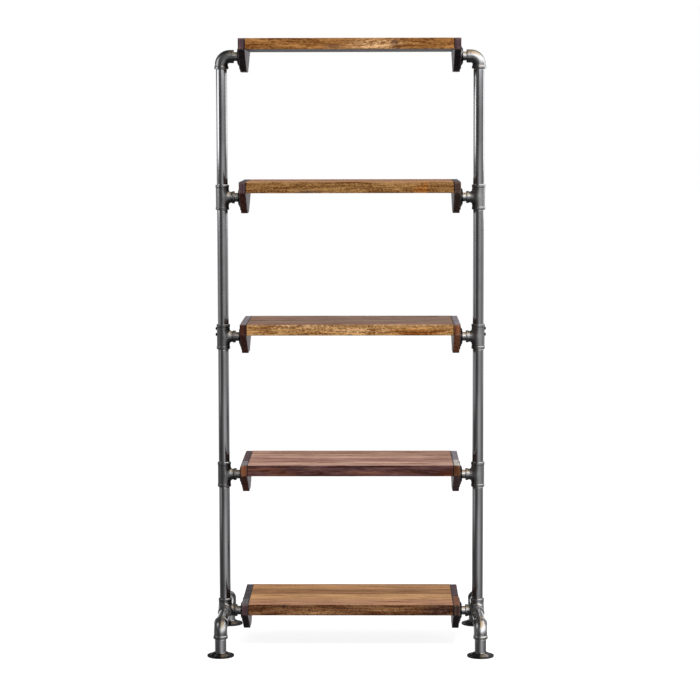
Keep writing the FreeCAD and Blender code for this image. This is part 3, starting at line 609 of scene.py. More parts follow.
def flange_shell(source, centre, axis, height, side, kind, sector=30, step=3):
    """A round flange. Its cone, hub, socket and rim are turned; the flat ring between cone and rim is cut
    into plain sectors and sectors with a screw hole, where rows go over from the hole's circle to the
    sector's border. Sector and step are in degrees."""
    sizes = metal()
    hub, circle, hole = (getattr(sizes, f"{kind}_{part}") for part in ("hub", "screw_circle", "screw_hole"))
    socket = {"shelf": NIPPLE, "foot": PIPE}[kind] + sizes.seat
    rim, foot, lip, radius = sizes.flange_rim, sizes.flange_cone_foot / 2, sizes.pipe_bevel, radius_of(source)
    edge, bevel = radius - lip, lip / 2
    first, second = across(axis)
    cone = eased([(rim, foot), (height, hub / 2), (height, socket), (0.0, socket), (0.0, foot)],
                 [lip, lip / 2, lip / 2])
    outer = eased([(rim, edge), (rim, radius), (0.0, radius), (0.0, edge)], [lip * 0.9, lip * 0.5])
    # Levels of the rows round a screw hole: how far each row is from the hole to the border, and how much
    # wider than the hole its circle is.
    levels = ((rim, (1.0, 0.35, 0.0), bevel), (rim - bevel, (0.0,), 0.0), (bevel, (0.0,), 0.0),
              (0.0, (0.0, 0.35, 1.0), bevel))

    def flat(r, angle, level):
        return centre + r[..., None] * around(angle, first, second) + np.asarray(level)[..., None] * axis

    angle = np.radians(45 - sector / 2) + np.linspace(0, 2 * np.pi, 360 // step, endpoint=False)[None]
    grids = [(flat(profile[:, 1:], angle, profile[:, :1]), False, True) for profile in (cone, outer)]
    radial = np.linspace(foot, edge, 5)
    for quarter in range(4):
        hole_angle = HALF_PI * quarter + np.radians(45)
        low, high = (hole_angle + np.radians(way * sector / 2) for way in (-1, 1))
        arc = np.linspace(low, high, sector // step + 1)
        sides = ((edge, arc), (radial[::-1], high), (foot, arc[::-1]), (radial, low))
        r, turn = joined(*(np.column_stack(np.broadcast_arrays(*one)) for one in sides)).T
        border = np.column_stack((r * np.cos(turn), r * np.sin(turn)))
        middle = circle / 2 * np.array((np.cos(hole_angle), np.sin(hole_angle)))
        toward = np.arctan2(*(border - middle).T[::-1])
        rows = []
        for level, parts, widening in levels:
            ring = middle + (hole / 2 + widening) * np.column_stack((np.cos(toward), np.sin(toward)))
            for part in parts:
                x, y = (ring + part * (border - ring)).T[..., None]
                rows.append(centre + x * first + y * second + level * axis)
        grids.append((np.stack(rows), False, True))
        plain = np.linspace(high, low + HALF_PI, (90 - sector) // step + 1)[None]
        grids += [(flat(radial[:, None], plain, level), False, False) for level in (rim, 0.0)]
    # The tone paints the right side's iron paler and the left's darker, as light and shade.
    return shell(grids, own_axes(centre, axis), PAINTED_IRON_LIGHT[side])


def shifted(seed, order=(0, 1, 2)):
    """Places the grain of each piece of wood elsewhere in the pattern; the order puts its length first."""
    offset = np.random.default_rng(seed).uniform(-20, 20, 3)
    return lambda points: points[:, list(order)] + offset


def subdivided(ring, count, long_side=0.008):
    """A closed outline with each of its long sides divided, more finely towards the corners."""
    step = (1 - np.cos(np.pi * np.arange(count) / count)) / 2
    sides = zip(ring, np.roll(ring, -1, axis=0))
    return np.concatenate([here + step[:, None] * (there - here) if np.linalg.norm(there - here) > long_side
                           else here[None] for here, there in sides])


def toned(name, figure):
    """A colour of the wood, and how strong the curly figure is there."""
    return np.array((*getattr(wood(), name), figure))


# How strongly the painted shade in a joint, a patch of another tone and the shade along the back cover the
# wood.
JOINT_SHADE, PATCH_STRENGTH, BACK_SHADE = 0.9, 0.7, 0.5
# How strong the figure is on the edges of an end plate, and on broad faces and undersides.
PLATE_FIGURE, FACE_FIGURE = 0.15, 0.2
# Widths over which tones go over: at a board's edges, at an end plate's corners and along a board's back.
BOARD_FADE, PLATE_FADE, BACK_FADE = 0.001, 0.002, (0.009, 0.005)
# How far from its edges a board is worn, and an end plate from its faces and from its corners; the pale wear
# there is partly a painted highlight of the eased edges.
BOARD_WEAR, PLATE_WEAR, CORNER_WEAR = 0.003, 0.002, 0.008
# The painted shade in the joint between an end plate's two pieces is this wide to each side.
PLATE_JOINT = 0.0008
# A parabola with this setback rounds a corner about as much as a circle of radius 1.
SETBACK_PER_RADIUS = 1.4


def stave_shell(low, high, setbacks, seed, front, top, patches, rows=130, side_rows=8, end_ease=0.0008):
    """A stave: its section is a rectangle with eased corners, carried along X. Hand sanding makes the easing
    wander along the edge, and both ends close to a point in their middle."""
    sizes = wood()
    corners = [(low[1], low[2]), (low[1], high[2]), (high[1], high[2]), (high[1], low[2])]
    step = 0.0001
    sharp, softer = (subdivided(eased(corners, setback, ring=True), side_rows)
                     for setback in (step, 2 * step))
    change = (softer - sharp) / step
    nearest = np.argmin(np.linalg.norm(sharp[:, None] - np.array(corners)[None], axis=2), axis=1)
    ease = np.array(setbacks)[nearest] * (np.linalg.norm(change, axis=1) > 0)
    reach = sizes.joint_reach
    ends = np.array((0.0, 0.0004, reach, reach + 0.0006, 0.005))
    along = np.linspace(low[0] + 0.01, high[0] - 0.01, rows)
    along = np.concatenate((low[0] + ends, along, high[0] - ends[::-1]))
    wander = 1 + sizes.edge_wander / sizes.edge_round * wave(along - low[0], seed, turns=7.0)
    section = sharp + (wander[:, None] * ease)[..., None] * change
    middle = section.mean(axis=1, keepdims=True)
    shrink = np.ones(len(along))
    shrink[[0, -1]] = 1 - end_ease / (high[2] - low[2])
    section = middle + shrink[:, None, None] * (section - middle)
    section = np.concatenate((middle[:1] + 0 * section[:1], section, middle[-1:] + 0 * section[-1:]))
    along = np.concatenate((along[:1], along, along[-1:]))
    points = np.dstack((along[:, None] + 0 * section[..., 0], section))

    def tone(spots):
        x, y, z = spots.T[..., None]
        made = np.broadcast_to(front, (len(spots), 4))
        for name, place, height_share, half_width, half_height in patches:
            up = low[2] + height_share * (high[2] - low[2])
            off = ((x - place) / half_width) ** 2 + ((z - up) / half_height) ** 2
            patch = toned(f"tone_{name}", PALE_FIGURE.get(name, front[3]))
            made = blend(made, patch, PATCH_STRENGTH * np.exp(-off ** 1.5))
        # The top face takes the top tone, partly painted sheen; the underside a grey that is painted
        # reflection.
        made = blend(made, top, rise(z, high[2] - BOARD_FADE, high[2]))
        made = blend(made, toned("tone_pewter", FACE_FIGURE), rise(z, low[2] + BOARD_FADE, low[2]))
        by_back = rise(high[1] - y, *BACK_FADE) * (setbacks[2] > setbacks[0])
        made = blend(made, toned("tone_dusk", 0.0), BACK_SHADE * by_back)
        # Painted shade on the board's ends, in the joint against the end plates.
        from_end = np.minimum(x - low[0], high[0] - x)
        return blend(made, toned("joint_shade", 0.0), JOINT_SHADE * (from_end < reach + step))

    # Pale wear along the top edges: partly real wear, partly a painted highlight of the eased edges.
    def wear(spots):
        _, y, z = spots.T
        gap = np.minimum(np.abs(y - low[1]), np.abs(y - high[1])) + np.abs(z - high[2])
        return rise(gap, BOARD_WEAR, 0) * (max(setbacks) > sizes.joint_ease)

    return shell([(points, False, True)], shifted(seed), tone, wear)


def cut_outline(corners, level, sense):
    """The part of a convex outline beyond a line across it (sense 1), or before it (sense -1)."""
    kept = []
    for corner, following in zip(corners, corners[1:] + corners[:1]):
        here, there = (sense * (spot[0] - level) for spot in (corner, following))
        if here >= 0:
            kept.append(corner)
        if here * there < 0:
            kept.append(tuple(blend(np.array(corner), np.array(following), here / (here - there))))
    return kept


def plate_shell(low, high, board_bottom, seed, level, sense, inner, tones, side_rows=14, arc_rows=6):
    """One of the two pieces of an end plate: its part of the plate's six-cornered outline, with eased
    corners, is carried through the thickness. At both faces the outline draws in along a quarter circle,
    deeper where the edge is worn, and hardly at the joint. The outer face is dark, so that the pipes mirror
    no pale patch."""
    sizes = wood()
    foot = sizes.plate_foot_width / 2
    whole = [(low[1], high[2]), (low[1], board_bottom), (-foot, low[2]), (foot, low[2]),
             (high[1], board_bottom), (high[1], high[2])]
    corners = cut_outline(whole, level, sense)
    at_joint = [abs(corner[0] - level) < WELD for corner in corners]
    setbacks = np.where(at_joint, sizes.joint_ease, SETBACK_PER_RADIUS * sizes.plate_corner)
    ring = subdivided(eased(corners, setbacks, ring=True), side_rows)
    ahead = np.roll(ring, -1, axis=0) - np.roll(ring, 1, axis=0)
    normal = np.column_stack((ahead[:, 1], -ahead[:, 0])) / np.linalg.norm(ahead, axis=1)[:, None]
    centre = ring.mean(axis=0)
    normal = normal * np.sign(((ring - centre) * normal).sum(1))[:, None]
    worn = sizes.edge_round * (1 + 0.35 * wave(np.linspace(0, 1, len(ring)), seed, turns=9.0))
    worn = np.minimum(worn, sizes.joint_ease + 0.5 * np.abs(ring[:, 0] - level))
    arc = np.linspace(HALF_PI, 0, arc_rows)[:, None]
    thick, flat = high[0] - low[0], 2 * sizes.edge_round
    rows = np.concatenate((ring - (worn * (1 - np.cos(arc)))[..., None] * normal, np.stack((ring, ring))))
    inward = centre + np.array((0.0, 0.3, 0.6, 0.85))[:, None, None] * (rows[:1] - centre)
    half = np.concatenate((inward, rows))
    depth = np.concatenate((np.zeros(inward.shape[:2]), worn * (1 - np.sin(arc)),
                            np.repeat([[flat], [flat + 0.001]], len(ring), axis=1)))
    points = np.dstack((low[0] + np.concatenate((depth, thick - depth[::-1])),
                        np.concatenate((half, half[::-1]))))
    edge, slope, top = (toned(f"tone_{name}", PLATE_FIGURE) for name in tones)
    # The inner face takes a grey-violet that is painted sheen; the outer face takes the dark stain.
    inner_face_sheen, outer_face = toned("plate_face", FACE_FIGURE), toned("tone_bark", FACE_FIGURE)

    def tone(spots):
        x, y, z = spots.T[..., None]
        on_face = rise(np.minimum(x - low[0], high[0] - x), sizes.edge_round, 0)
        face = blend(inner_face_sheen, outer_face, np.abs(x - inner) > thick / 2)
        above = rise(z, high[2] - PLATE_FADE, high[2])
        # The sloping edge is mostly painted darker as shade, and the top takes a tone that is partly painted
        # sheen.
        made = blend(edge, slope, rise(z, board_bottom + PLATE_FADE, board_bottom - PLATE_FADE))
        made = blend(blend(made, top, above), face, on_face)
        # Painted shade in the joint against the board and in the joint between the plate's two pieces.
        by_board = (np.abs(x - inner) < sizes.edge_round) * (z > board_bottom)
        by_joint = (np.abs(y - level) < PLATE_JOINT) * above
        return blend(made, toned("joint_shade", 0.0), JOINT_SHADE * np.maximum(by_board, by_joint))

    # Pale wear at the rims and corners: partly real wear, partly a painted highlight of the eased edges.
    def wear(spots):
        x, y, z = spots.T
        face = rise(np.minimum(x - low[0], high[0] - x), PLATE_WEAR, 0)
        corner = np.min([np.hypot(y - across_it, z - up) for across_it, up in whole], axis=0)
        return (0.5 * face + 0.8 * rise(corner, CORNER_WEAR, 0)) * (np.abs(x - inner) > sizes.edge_round)

    return shell([(points, False, True)], shifted(seed, (2, 0, 1)), tone, wear)


# The finishes


def opaque(colour, part=1.0):
    """A colour made darker or paler, at most white, as red, green, blue and 1."""
    return (*np.minimum(part * np.array(colour), 1.0), 1.0)


class Graph:
    """The nodes of a new material or of the world. Each method adds a node and gives an output of it."""

    def __init__(self, owner):
        owner.use_nodes = True
        self.tree = owner.node_tree
        self.tree.nodes.clear()

    def add(self, kind, inputs=(), **settings):
        """Adds a node and gives its outputs; inputs are values or outputs of other nodes."""
        made = self.tree.nodes.new("ShaderNode" + kind)
        for name, value in settings.items():
            setattr(made, name, value)
        for name, value in dict(inputs).items():
            if isinstance(value, bpy.types.NodeSocket):
                self.tree.links.new(value, made.inputs[name])
            else:
                made.inputs[name].default_value = value
        return made.outputs

    def maths(self, operation, first, second, clamp=False):
        return self.add("Math", {0: first, 1: second}, operation=operation, use_clamp=clamp)[0]

    def product(self, first, second, clamp=False):
        return self.maths("MULTIPLY", first, second, clamp)

    def total(self, first, *others, clamp=False):
        for number, other in enumerate(others, 1):
            first = self.maths("ADD", first, other, clamp and number == len(others))
        return first

    def mapped(self, value, start, end, low=0.0, high=1.0, kind="SMOOTHSTEP"):
        """Maps the stretch from start to end to low..high, smoothly unless the kind is LINEAR."""
        inputs = {"Value": value, "From Min": start, "From Max": end, "To Min": low, "To Max": high}
        return self.add("MapRange", inputs, interpolation_type=kind)[0]

    def spread(self, value, low, high):
        return self.mapped(value, 0.0, 1.0, low, high, "LINEAR")

    def swing(self, value, amount):
        """Maps the middle of a noise's range to -amount..amount."""
        return self.mapped(value, 0.3, 0.7, -amount, amount, "LINEAR")

    def scaled(self, place, scale):
        return self.add("VectorMath", {0: place, 1: scale}, operation="MULTIPLY")[0]

    def noise(self, place, scale, detail=3.0, roughness=0.55, distortion=0.0):
        """Noise on a place whose coordinates are first stretched by the three scales."""
        inputs = {"Vector": self.scaled(place, scale), "Scale": 1.0, "Detail": detail,
                  "Roughness": roughness, "Distortion": distortion}
        return self.add("TexNoise", inputs)[0]

    def mixed(self, factor, first, second, kind="MIX"):
        return self.add("Mix", {0: factor, 6: first, 7: second}, data_type="RGBA", blend_type=kind)[2]

    def attribute(self, name, output):
        return self.add("Attribute", attribute_name=name)[output]

    def ramp(self, value, stops):
        """A colour ramp over a value, from its places and colours."""
        fac = self.add("ValToRGB", {"Fac": value})["Color"]
        elements = fac.node.color_ramp.elements
        elements.remove(elements[1])
        for number, (place, colour) in enumerate(stops):
            stop = elements.new(place) if number else elements[0]
            stop.position = place
            stop.color = opaque(colour)
        return fac

    def finish(self, colour, roughness, height, distance, sockets):
        """Ends a material in the principled shader, with its bump."""
        normal = self.add("Bump", {"Height": height, "Distance": distance, "Strength": 0.6})[0]
        shader = self.add("BsdfPrincipled", {"Base Color": colour, "Roughness": roughness, "Normal": normal,
                                             **sockets})[0]
        self.add("OutputMaterial", {"Surface": shader})


def new_material(name):
    material = bpy.data.materials.new(name)
    return material, Graph(material)


# What the tone is multiplied by where the wood is dark, golden and pale, and the gold that goes over it.
WOOD_SHARES = (linear("ae9179"), (1.9, 1.95, 2.3), (1.35, 1.3, 1.25))
GOLD = linear("e0b87c")


def wood_finish(name, coat, fleck_length, wander, blotchy):
    """Oiled wood. The length of the grain lies along the first coordinate, from which it slowly wanders:
    broad bands, long streaks and finer fibres. Flecks of curly figure lie across them, as strong as the
    fourth value of the tone says, and dark veins and pores go over all. The tone is deepened to a stain
    colour and lightened to a golden one."""
    material, graph = new_material(name)
    own_place = graph.attribute("own_place", "Vector")
    slow = graph.scaled(own_place, (4.0, 7.0, 7.0))
    drift = graph.add("TexNoise", {"Vector": slow, "Scale": 1.0, "Detail": 1.0})["Color"]
    place = graph.add("VectorMath", {0: drift, 1: (0.0, wander, wander), 2: own_place},
                      operation="MULTIPLY_ADD")[0]

    def grain(lengthwise, crosswise, detail, *shape):
        return graph.noise(place, (lengthwise, crosswise, crosswise), detail, *shape)

    tones = graph.add("Attribute", attribute_name="tone")
    tone, figure = tones["Color"], tones["Alpha"]
    broad = grain(4.5, 28.0, 2.0, 0.5, 0.6)
    streak = grain(7.0, 150.0, 4.0, 0.65, 0.6)
    fibre = grain(30.0, 700.0, 2.0, 0.6)
    fleck = grain(1 / fleck_length, 260.0, 2.0, 0.6, 0.5)
    curl = grain(0.3 / fleck_length, 90.0, 3.0, 0.6, 1.2)
    vein = grain(2.6, 50.0, 3.0, 0.6, 1.4)
    pore = grain(120.0, 1500.0, 1.0)
    curly = graph.product(graph.total(graph.swing(fleck, 0.75), graph.swing(curl, 0.45 * blotchy)), figure)
    value = graph.total(graph.swing(broad, 0.45 * blotchy), graph.swing(streak, 0.6), curly,
                        graph.swing(fibre, 0.06), 0.5, clamp=True)
    dark, golden, pale = (graph.mixed(1.0, tone, (*share, 1.0), "MULTIPLY") for share in WOOD_SHARES)
    light = graph.mixed(figure, pale, graph.mixed(0.25, golden, opaque(GOLD)))
    colour = graph.mixed(graph.mapped(value, 0.0, 0.5), dark, tone)
    colour = graph.mixed(graph.mapped(value, 0.5, 1.0), colour, light)
    colour = graph.mixed(graph.mapped(vein, 0.56, 0.7, 0.0, 0.55), colour, dark)
    colour = graph.mixed(graph.mapped(pore, 0.62, 0.75, 0.0, 0.35), colour, dark)
    # The worn colour goes on where the wear says: partly real wear, partly a painted highlight of the eased
    # edges.
    rubbed = graph.product(graph.attribute("wear", "Fac"), graph.mapped(streak, 0.4, 0.62, 0.0, 0.6), True)
    colour = graph.mixed(rubbed, colour, opaque(wood().worn))
    height = graph.total(fibre, graph.product(curl, 0.8))
    graph.finish(colour, graph.spread(streak, 0.45, 0.62), height, 0.0004,
                 {"Coat Weight": coat, "Coat Roughness": 0.26, "Specular IOR Level": 0.1})
    return material


def iron_finish(name, tint, rough, streaky, lumps=0.0, edge=1.0):
    """Metal with drawn or ground streaks along the third coordinate, patches of darker oxide, and for
    castings a slightly lumpy skin. The edge is how much of the light that grazes it the metal gives back."""
    material, graph = new_material(name)
    place = graph.attribute("own_place", "Vector")
    streak = graph.noise(place, (420.0, 420.0, 6.0), 3.0, 0.6)
    patch = graph.noise(place, (35.0, 35.0, 18.0), 4.0, 0.6, 0.6)
    grain = graph.noise(place, (900.0, 900.0, 900.0), 2.0, 0.6)
    value = graph.total(graph.spread(streak, -streaky, streaky), graph.spread(patch, -0.22, 0.22), 0.5,
                        clamp=True)
    colour = graph.mixed(graph.mapped(value, 0.1, 0.5), opaque(tint, 0.45), opaque(tint))
    colour = graph.mixed(graph.mapped(value, 0.5, 0.9), colour, opaque(tint, 1.35))
    # The tone multiplies the colour; on the fittings, flanges and shelf nipples it is painted light and shade
    # by side.
    colour = graph.mixed(1.0, colour, graph.attribute("tone", "Color"), "MULTIPLY")
    height = graph.total(graph.product(streak, 0.15), graph.product(patch, lumps),
                         graph.product(grain, 0.08 + 0.1 * lumps))
    graph.finish(colour, graph.spread(patch, rough * 0.7, rough * 1.35), height, 0.0005 * (0.06 + lumps),
                 {"Metallic": 1.0, "Specular Tint": opaque((edge, edge, edge))})
    return material


def fastener_finish(name, tint, rough=0.6):
    """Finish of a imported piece, which has no attributes: its pattern follows the object's own coordinates."""
    material, graph = new_material(name)
    patch = graph.noise(graph.add("TexCoord")["Object"], (300.0, 300.0, 300.0), 3.0)
    colour = graph.mixed(graph.mapped(patch, 0.35, 0.65), opaque(tint, 0.6), opaque(tint))
    graph.finish(colour, graph.spread(patch, rough * 0.8, rough * 1.3), patch, 0.0001,
                 {"Metallic": 0.0, "Specular IOR Level": 0.15})
    return material


# The operators


class PieceOperator(bpy.types.Operator):
    """Base of the operators: each makes its pieces and is done, or raises an error."""

    bl_options = {"REGISTER", "UNDO"}

    def execute(self, context):
        self.make()
        return {"FINISHED"}


class ETAGERE_OT_boards(PieceOperator):
    """Make the five shelf boards, each of four edge-glued staves"""

    bl_idname = "etagere.boards"
    bl_label = "Shelf Boards"

    def make(self):
        sizes = wood()
        for shelf in SHELVES:
            material = wood_finish(f"shelf_{shelf}_wood", sizes.sheen, *SHELF_GRAIN[shelf])
            low, high, _ = box_of(f"shelf_{shelf}_board")
            width = (high[1] - low[1]) / STAVES
            front, tops, figure = SHELF_TONES[shelf]
            shells = []
            for place, top in enumerate(tops):
                setbacks = np.full(4, sizes.joint_ease)
                if place == 0:
                    setbacks[:2] = sizes.edge_round
                if place == STAVES - 1:
                    setbacks[2:] = sizes.edge_round
                shells.append(stave_shell(np.array((low[0], low[1] + place * width, low[2])),
                                          np.array((high[0], low[1] + (place + 1) * width, high[2])),
                                          setbacks, 10 * shelf + place,
                                          toned(f"tone_{top if place else front}", figure),
                                          toned(f"tone_{top}", TOP_FIGURE),
                                          () if place else FRONT_PATCHES[shelf]))
            board = make_piece(f"shelf_{shelf}_board_staves", shells, material,
                               [f"shelf_{shelf}_board"])
            board.visible_glossy = False


class ETAGERE_OT_end_plates(PieceOperator):
    """Make the ten end plates that carry the boards"""

    bl_idname = "etagere.end_plates"
    bl_label = "End Plates"

    def make(self):
        material = wood_finish("end_plate_wood", wood().plate_sheen, *PLATE_GRAIN)
        for shelf in SHELVES:
            board_bottom = box_of(f"shelf_{shelf}_board")[0][2]
            for side, sign in SIDES.items():
                source = f"shelf_{shelf}_{side}_end_plate"
                low, high, _ = box_of(source)
                level = low[1] + PLATE_JOINT_SHARES[side] * (high[1] - low[1])
                inner = high[0] if sign < 0 else low[0]
                edge, slope, *tops = PLATE_TONES[shelf, side]
                seed = 100 + 10 * shelf + 3 * sign
                shells = [plate_shell(low, high, board_bottom, seed + sense, level, sense, inner,
                                      (edge, slope, top)) for sense, top in zip((-1, 1), tops)]
                make_piece(f"{source}_wood", shells, material, [source])


class ETAGERE_OT_pipes(PieceOperator):
    """Make the pipes of the uprights, the base rails and the foot nipples"""

    bl_idname = "etagere.pipes"
    bl_label = "Pipes"

    def make(self):
        sizes = metal()
        wall, bared = sizes.pipe_wall, sizes.socket_depth + sizes.thread_bared
        material = iron_finish("pipe_steel", sizes.pipe_steel, rough=0.17, streaky=0.25)
        for side in SIDES:
            for upper in SHELVES[:-1]:
                source = f"{side}_upright_{upper + 1}_to_{upper}"
                low, high, middle = box_of(source)
                bares = (0 if upper + 1 == SLIP_SHELF else bared, bared)
                pipe = pipe_shell(np.array((*middle[:2], low[2])), UP, high[2] - low[2], PIPE, wall, bares)
                make_piece(f"{source}_pipe", [pipe], material, [source])
            for end, sense in ENDS.items():
                source = f"{side}_{end}_base_rail"
                low, high, start = box_of(source)
                start[1] = low[1] if sense > 0 else high[1]
                pipe = pipe_shell(start, sense * REAR, high[1] - low[1], PIPE, wall, (bared, bared))
                make_piece(f"{source}_pipe", [pipe], material, [source])
        low, high, _ = box_of("foot_nipples")
        flanges = [box_of(f"{side}_{end}_foot_flange") for side in SIDES for end in ENDS]
        shells = [pipe_shell(np.array((*middle[:2], low[2])), UP, high[2] - low[2], PIPE, wall,
                             (top[2] - low[2] + sizes.thread_bared, bared)) for _, top, middle in flanges]
        material = iron_finish("foot_nipple_steel", sizes.pipe_steel, rough=0.2, streaky=0.3, lumps=0.1,
                               edge=0.4)
        make_piece("foot_nipple_pipes", shells, material, ["foot_nipples"])


class ETAGERE_OT_shelf_nipples(PieceOperator):
    """Make the ten short pipes between the shelf flanges and the uprights"""

    bl_idname = "etagere.shelf_nipples"
    bl_label = "Shelf Nipples"

    def make(self):
        sizes = metal()
        material = iron_finish("nipple_steel", sizes.pipe_steel, rough=0.3, streaky=0.3, lumps=0.1, edge=0.5)
        low, high, _ = box_of("shelf_nipples")
        shells = []
        for shelf in SHELVES:
            for side, sign in SIDES.items():
                flange_low, flange_high, start = box_of(f"shelf_{shelf}_{side}_flange")
                start[0] = flange_high[0] if sign < 0 else flange_low[0]
                run = (high[0] if sign > 0 else -low[0]) - abs(start[0])
                # The tone paints the right nipples paler and the left darker, as light and shade.
                shells.append(pipe_shell(start, sign * ALONG, run, NIPPLE, sizes.nipple_wall,
                                         tone=PAINTED_IRON_LIGHT[sign]))
        make_piece("shelf_nipple_pipes", shells, material, ["shelf_nipples"])


class ETAGERE_OT_fittings(PieceOperator):
    """Make the tees, the slip tees and the base fittings"""

    bl_idname = "etagere.fittings"
    bl_label = "Tees and Base Fittings"

    def make(self):
        material = iron_finish("fitting_iron", metal().fitting_iron, rough=0.34, streaky=0.35, lumps=0.4,
                               edge=0.9)
        for side, sign in SIDES.items():
            upright = box_of(f"{side}_upright_5_to_4")[2]
            for shelf in SHELVES[1:]:
                kind = {SLIP_SHELF: "slip_tee", BASE_SHELF: "base_fitting"}.get(shelf, "tee")
                source = f"shelf_{shelf}_{side}_{kind}"
                low, high, _ = box_of(source)
                level = box_of(f"shelf_{shelf}_{side}_flange")[2][2]
                centre = np.array((upright[0], 0.0, level))
                reach = high[2] - level
                if shelf == BASE_SHELF:
                    piece = casting_shell(centre, sign, base_loops, REAR, reach, high[0] - low[0] - reach)
                else:
                    piece = casting_shell(centre, sign, tee_loops, UP, reach, high[1])
                make_piece(f"{source}_iron", [piece], material, [source])


class ETAGERE_OT_elbows(PieceOperator):
    """Make the top elbows and the foot elbows"""

    bl_idname = "etagere.elbows"
    bl_label = "Elbows"

    def make(self):
        material = iron_finish("elbow_iron", metal().fitting_iron, rough=0.28, streaky=0.35, lumps=0.4,
                               edge=0.8)
        for side, sign in SIDES.items():
            upright = box_of(f"{side}_upright_5_to_4")[2]
            level = box_of(f"shelf_{TOP_SHELF}_{side}_flange")[2][2]
            places = [(f"shelf_{TOP_SHELF}_{side}_elbow", (upright[0], 0.0, level), -sign * ALONG, True)]
            for end, sense in ENDS.items():
                level = box_of(f"{side}_{end}_base_rail")[2][2]
                foot = box_of(f"{side}_{end}_foot_flange")[2]
                places.append((f"{side}_{end}_foot_elbow", (foot[0], foot[1], level), -sense * REAR, False))
            for source, centre, out, reducing in places:
                reach = centre[2] - box_of(source)[0][2]
                piece = elbow_shell(np.array(centre), out, reach, sign, reducing)
                make_piece(f"{source}_iron", [piece], material, [source])


class ETAGERE_OT_flanges(PieceOperator):
    """Make the shelf flanges and the foot flanges, with their screw holes"""

    bl_idname = "etagere.flanges"
    bl_label = "Flanges"

    def make(self):
        material = iron_finish("flange_iron", metal().flange_iron, rough=0.24, streaky=0.3, lumps=0.4,
                               edge=0.6)
        for side, sign in SIDES.items():
            places = [(f"shelf_{shelf}_{side}_flange", 0, sign) for shelf in SHELVES]
            places += [(f"{side}_{end}_foot_flange", 2, 1) for end in ENDS]
            for source, along, sense in places:
                low, high, centre = box_of(source)
                centre[along] = low[along] if sense > 0 else high[along]
                piece = flange_shell(source, centre, sense * np.eye(3)[along], high[along] - low[along], sign,
                                     "foot" if along else "shelf")
                make_piece(f"{source}_iron", [piece], material, [source])


class ETAGERE_OT_fasteners(PieceOperator):
    """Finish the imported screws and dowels"""

    bl_idname = "etagere.fasteners"
    bl_label = "Screws and Dowels"

    def make(self):
        screws = fastener_finish("screw_steel", metal().screw_steel)
        dowels = fastener_finish("dowel_wood", wood().tone_tan)
        for source, material in (("flange_screws", screws), ("slip_joint_screws", screws),
                                 ("end_plate_dowels", dowels)):
            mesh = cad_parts[source].data
            mesh.materials.clear()
            mesh.materials.append(material)


# The studio's brightness by compass direction, in degrees from the camera's side: the right is positive. Dark
# screens stand left of the camera, and the backdrop is white.
STUDIO_SIDES = ((-180, 1.0), (-125, 0.9), (-104, 0.25), (-88, 0.3), (-72, 0.8), (-58, 0.25), (-42, 0.09),
                (-14, 0.1), (0, 0.3), (18, 0.56), (38, 0.55), (60, 0.4), (85, 0.32), (108, 0.6), (140, 1.0),
                (180, 1.0))
# The same for what the lower pipes and fittings mirror, a little below the horizon.
STUDIO_LOW_SIDES = ((-180, 1.0), (-145, 0.6), (-121, 0.3), (-90, 0.09), (-43, 0.1), (-24, 0.22), (-5, 0.42),
                    (12, 0.85), (28, 0.9), (50, 0.6), (77, 0.3), (104, 0.2), (140, 0.45), (180, 1.0))
# What metal mirrors above the horizon on the left and on the right: height as the sine of the angle, and
# colour as a share of the panel's brightness.
PANEL_LEFT = ((0.04, "3c3c3c"), (0.4, "404040"), (0.55, "585858"), (0.7, "343434"), (1.0, "242424"))
PANEL_RIGHT = ((0.04, "7a7a7a"), (0.15, "acacac"), (0.35, "ffffff"), (0.58, "ffffff"), (0.75, "decbb0"),
               (1.0, "b8a184"))
# Where one part of the studio goes over into the next, as the sine of the height: the ramp round the compass
# into the low one, into the overhead light, into the light from below, and for mirror rays into the panel.
LOW_BLEND, OVERHEAD_BLEND, BELOW_BLEND, PANEL_BLEND = (-0.13, -0.18), (0.3, 0.6), (-0.3, -0.6), (0.03, 0.12)
# Where the panel goes over from its left to its right, and into its dim back, by X and by Y of the direction.
RIGHT_BLEND, BEHIND_BLEND, BEHIND_SHARE = (0.0, 0.05), (0.1, 0.6), 0.9
# How bright the studio is far below the horizon and the panel is behind the object.
BELOW_LIGHT, BEHIND_LIGHT = (0.06,) * 3, (0.12,) * 3
# Name, place, width and height of each lamp, and which of the brightnesses it has. Each aims at the upright
# line over the middle of the floor, at the height given last.
LAMPS = (("key", (0.75, -3.4, 4.0), (1.3, 0.9), "key_radiance", 1.0),
         ("left_side", (-1.9, -0.3, 1.95), (1.1, 1.3), "side_radiance", 1.95),
         ("right_side", (1.7, 0.75, 1.95), (0.8, 1.3), "side_radiance", 1.95))


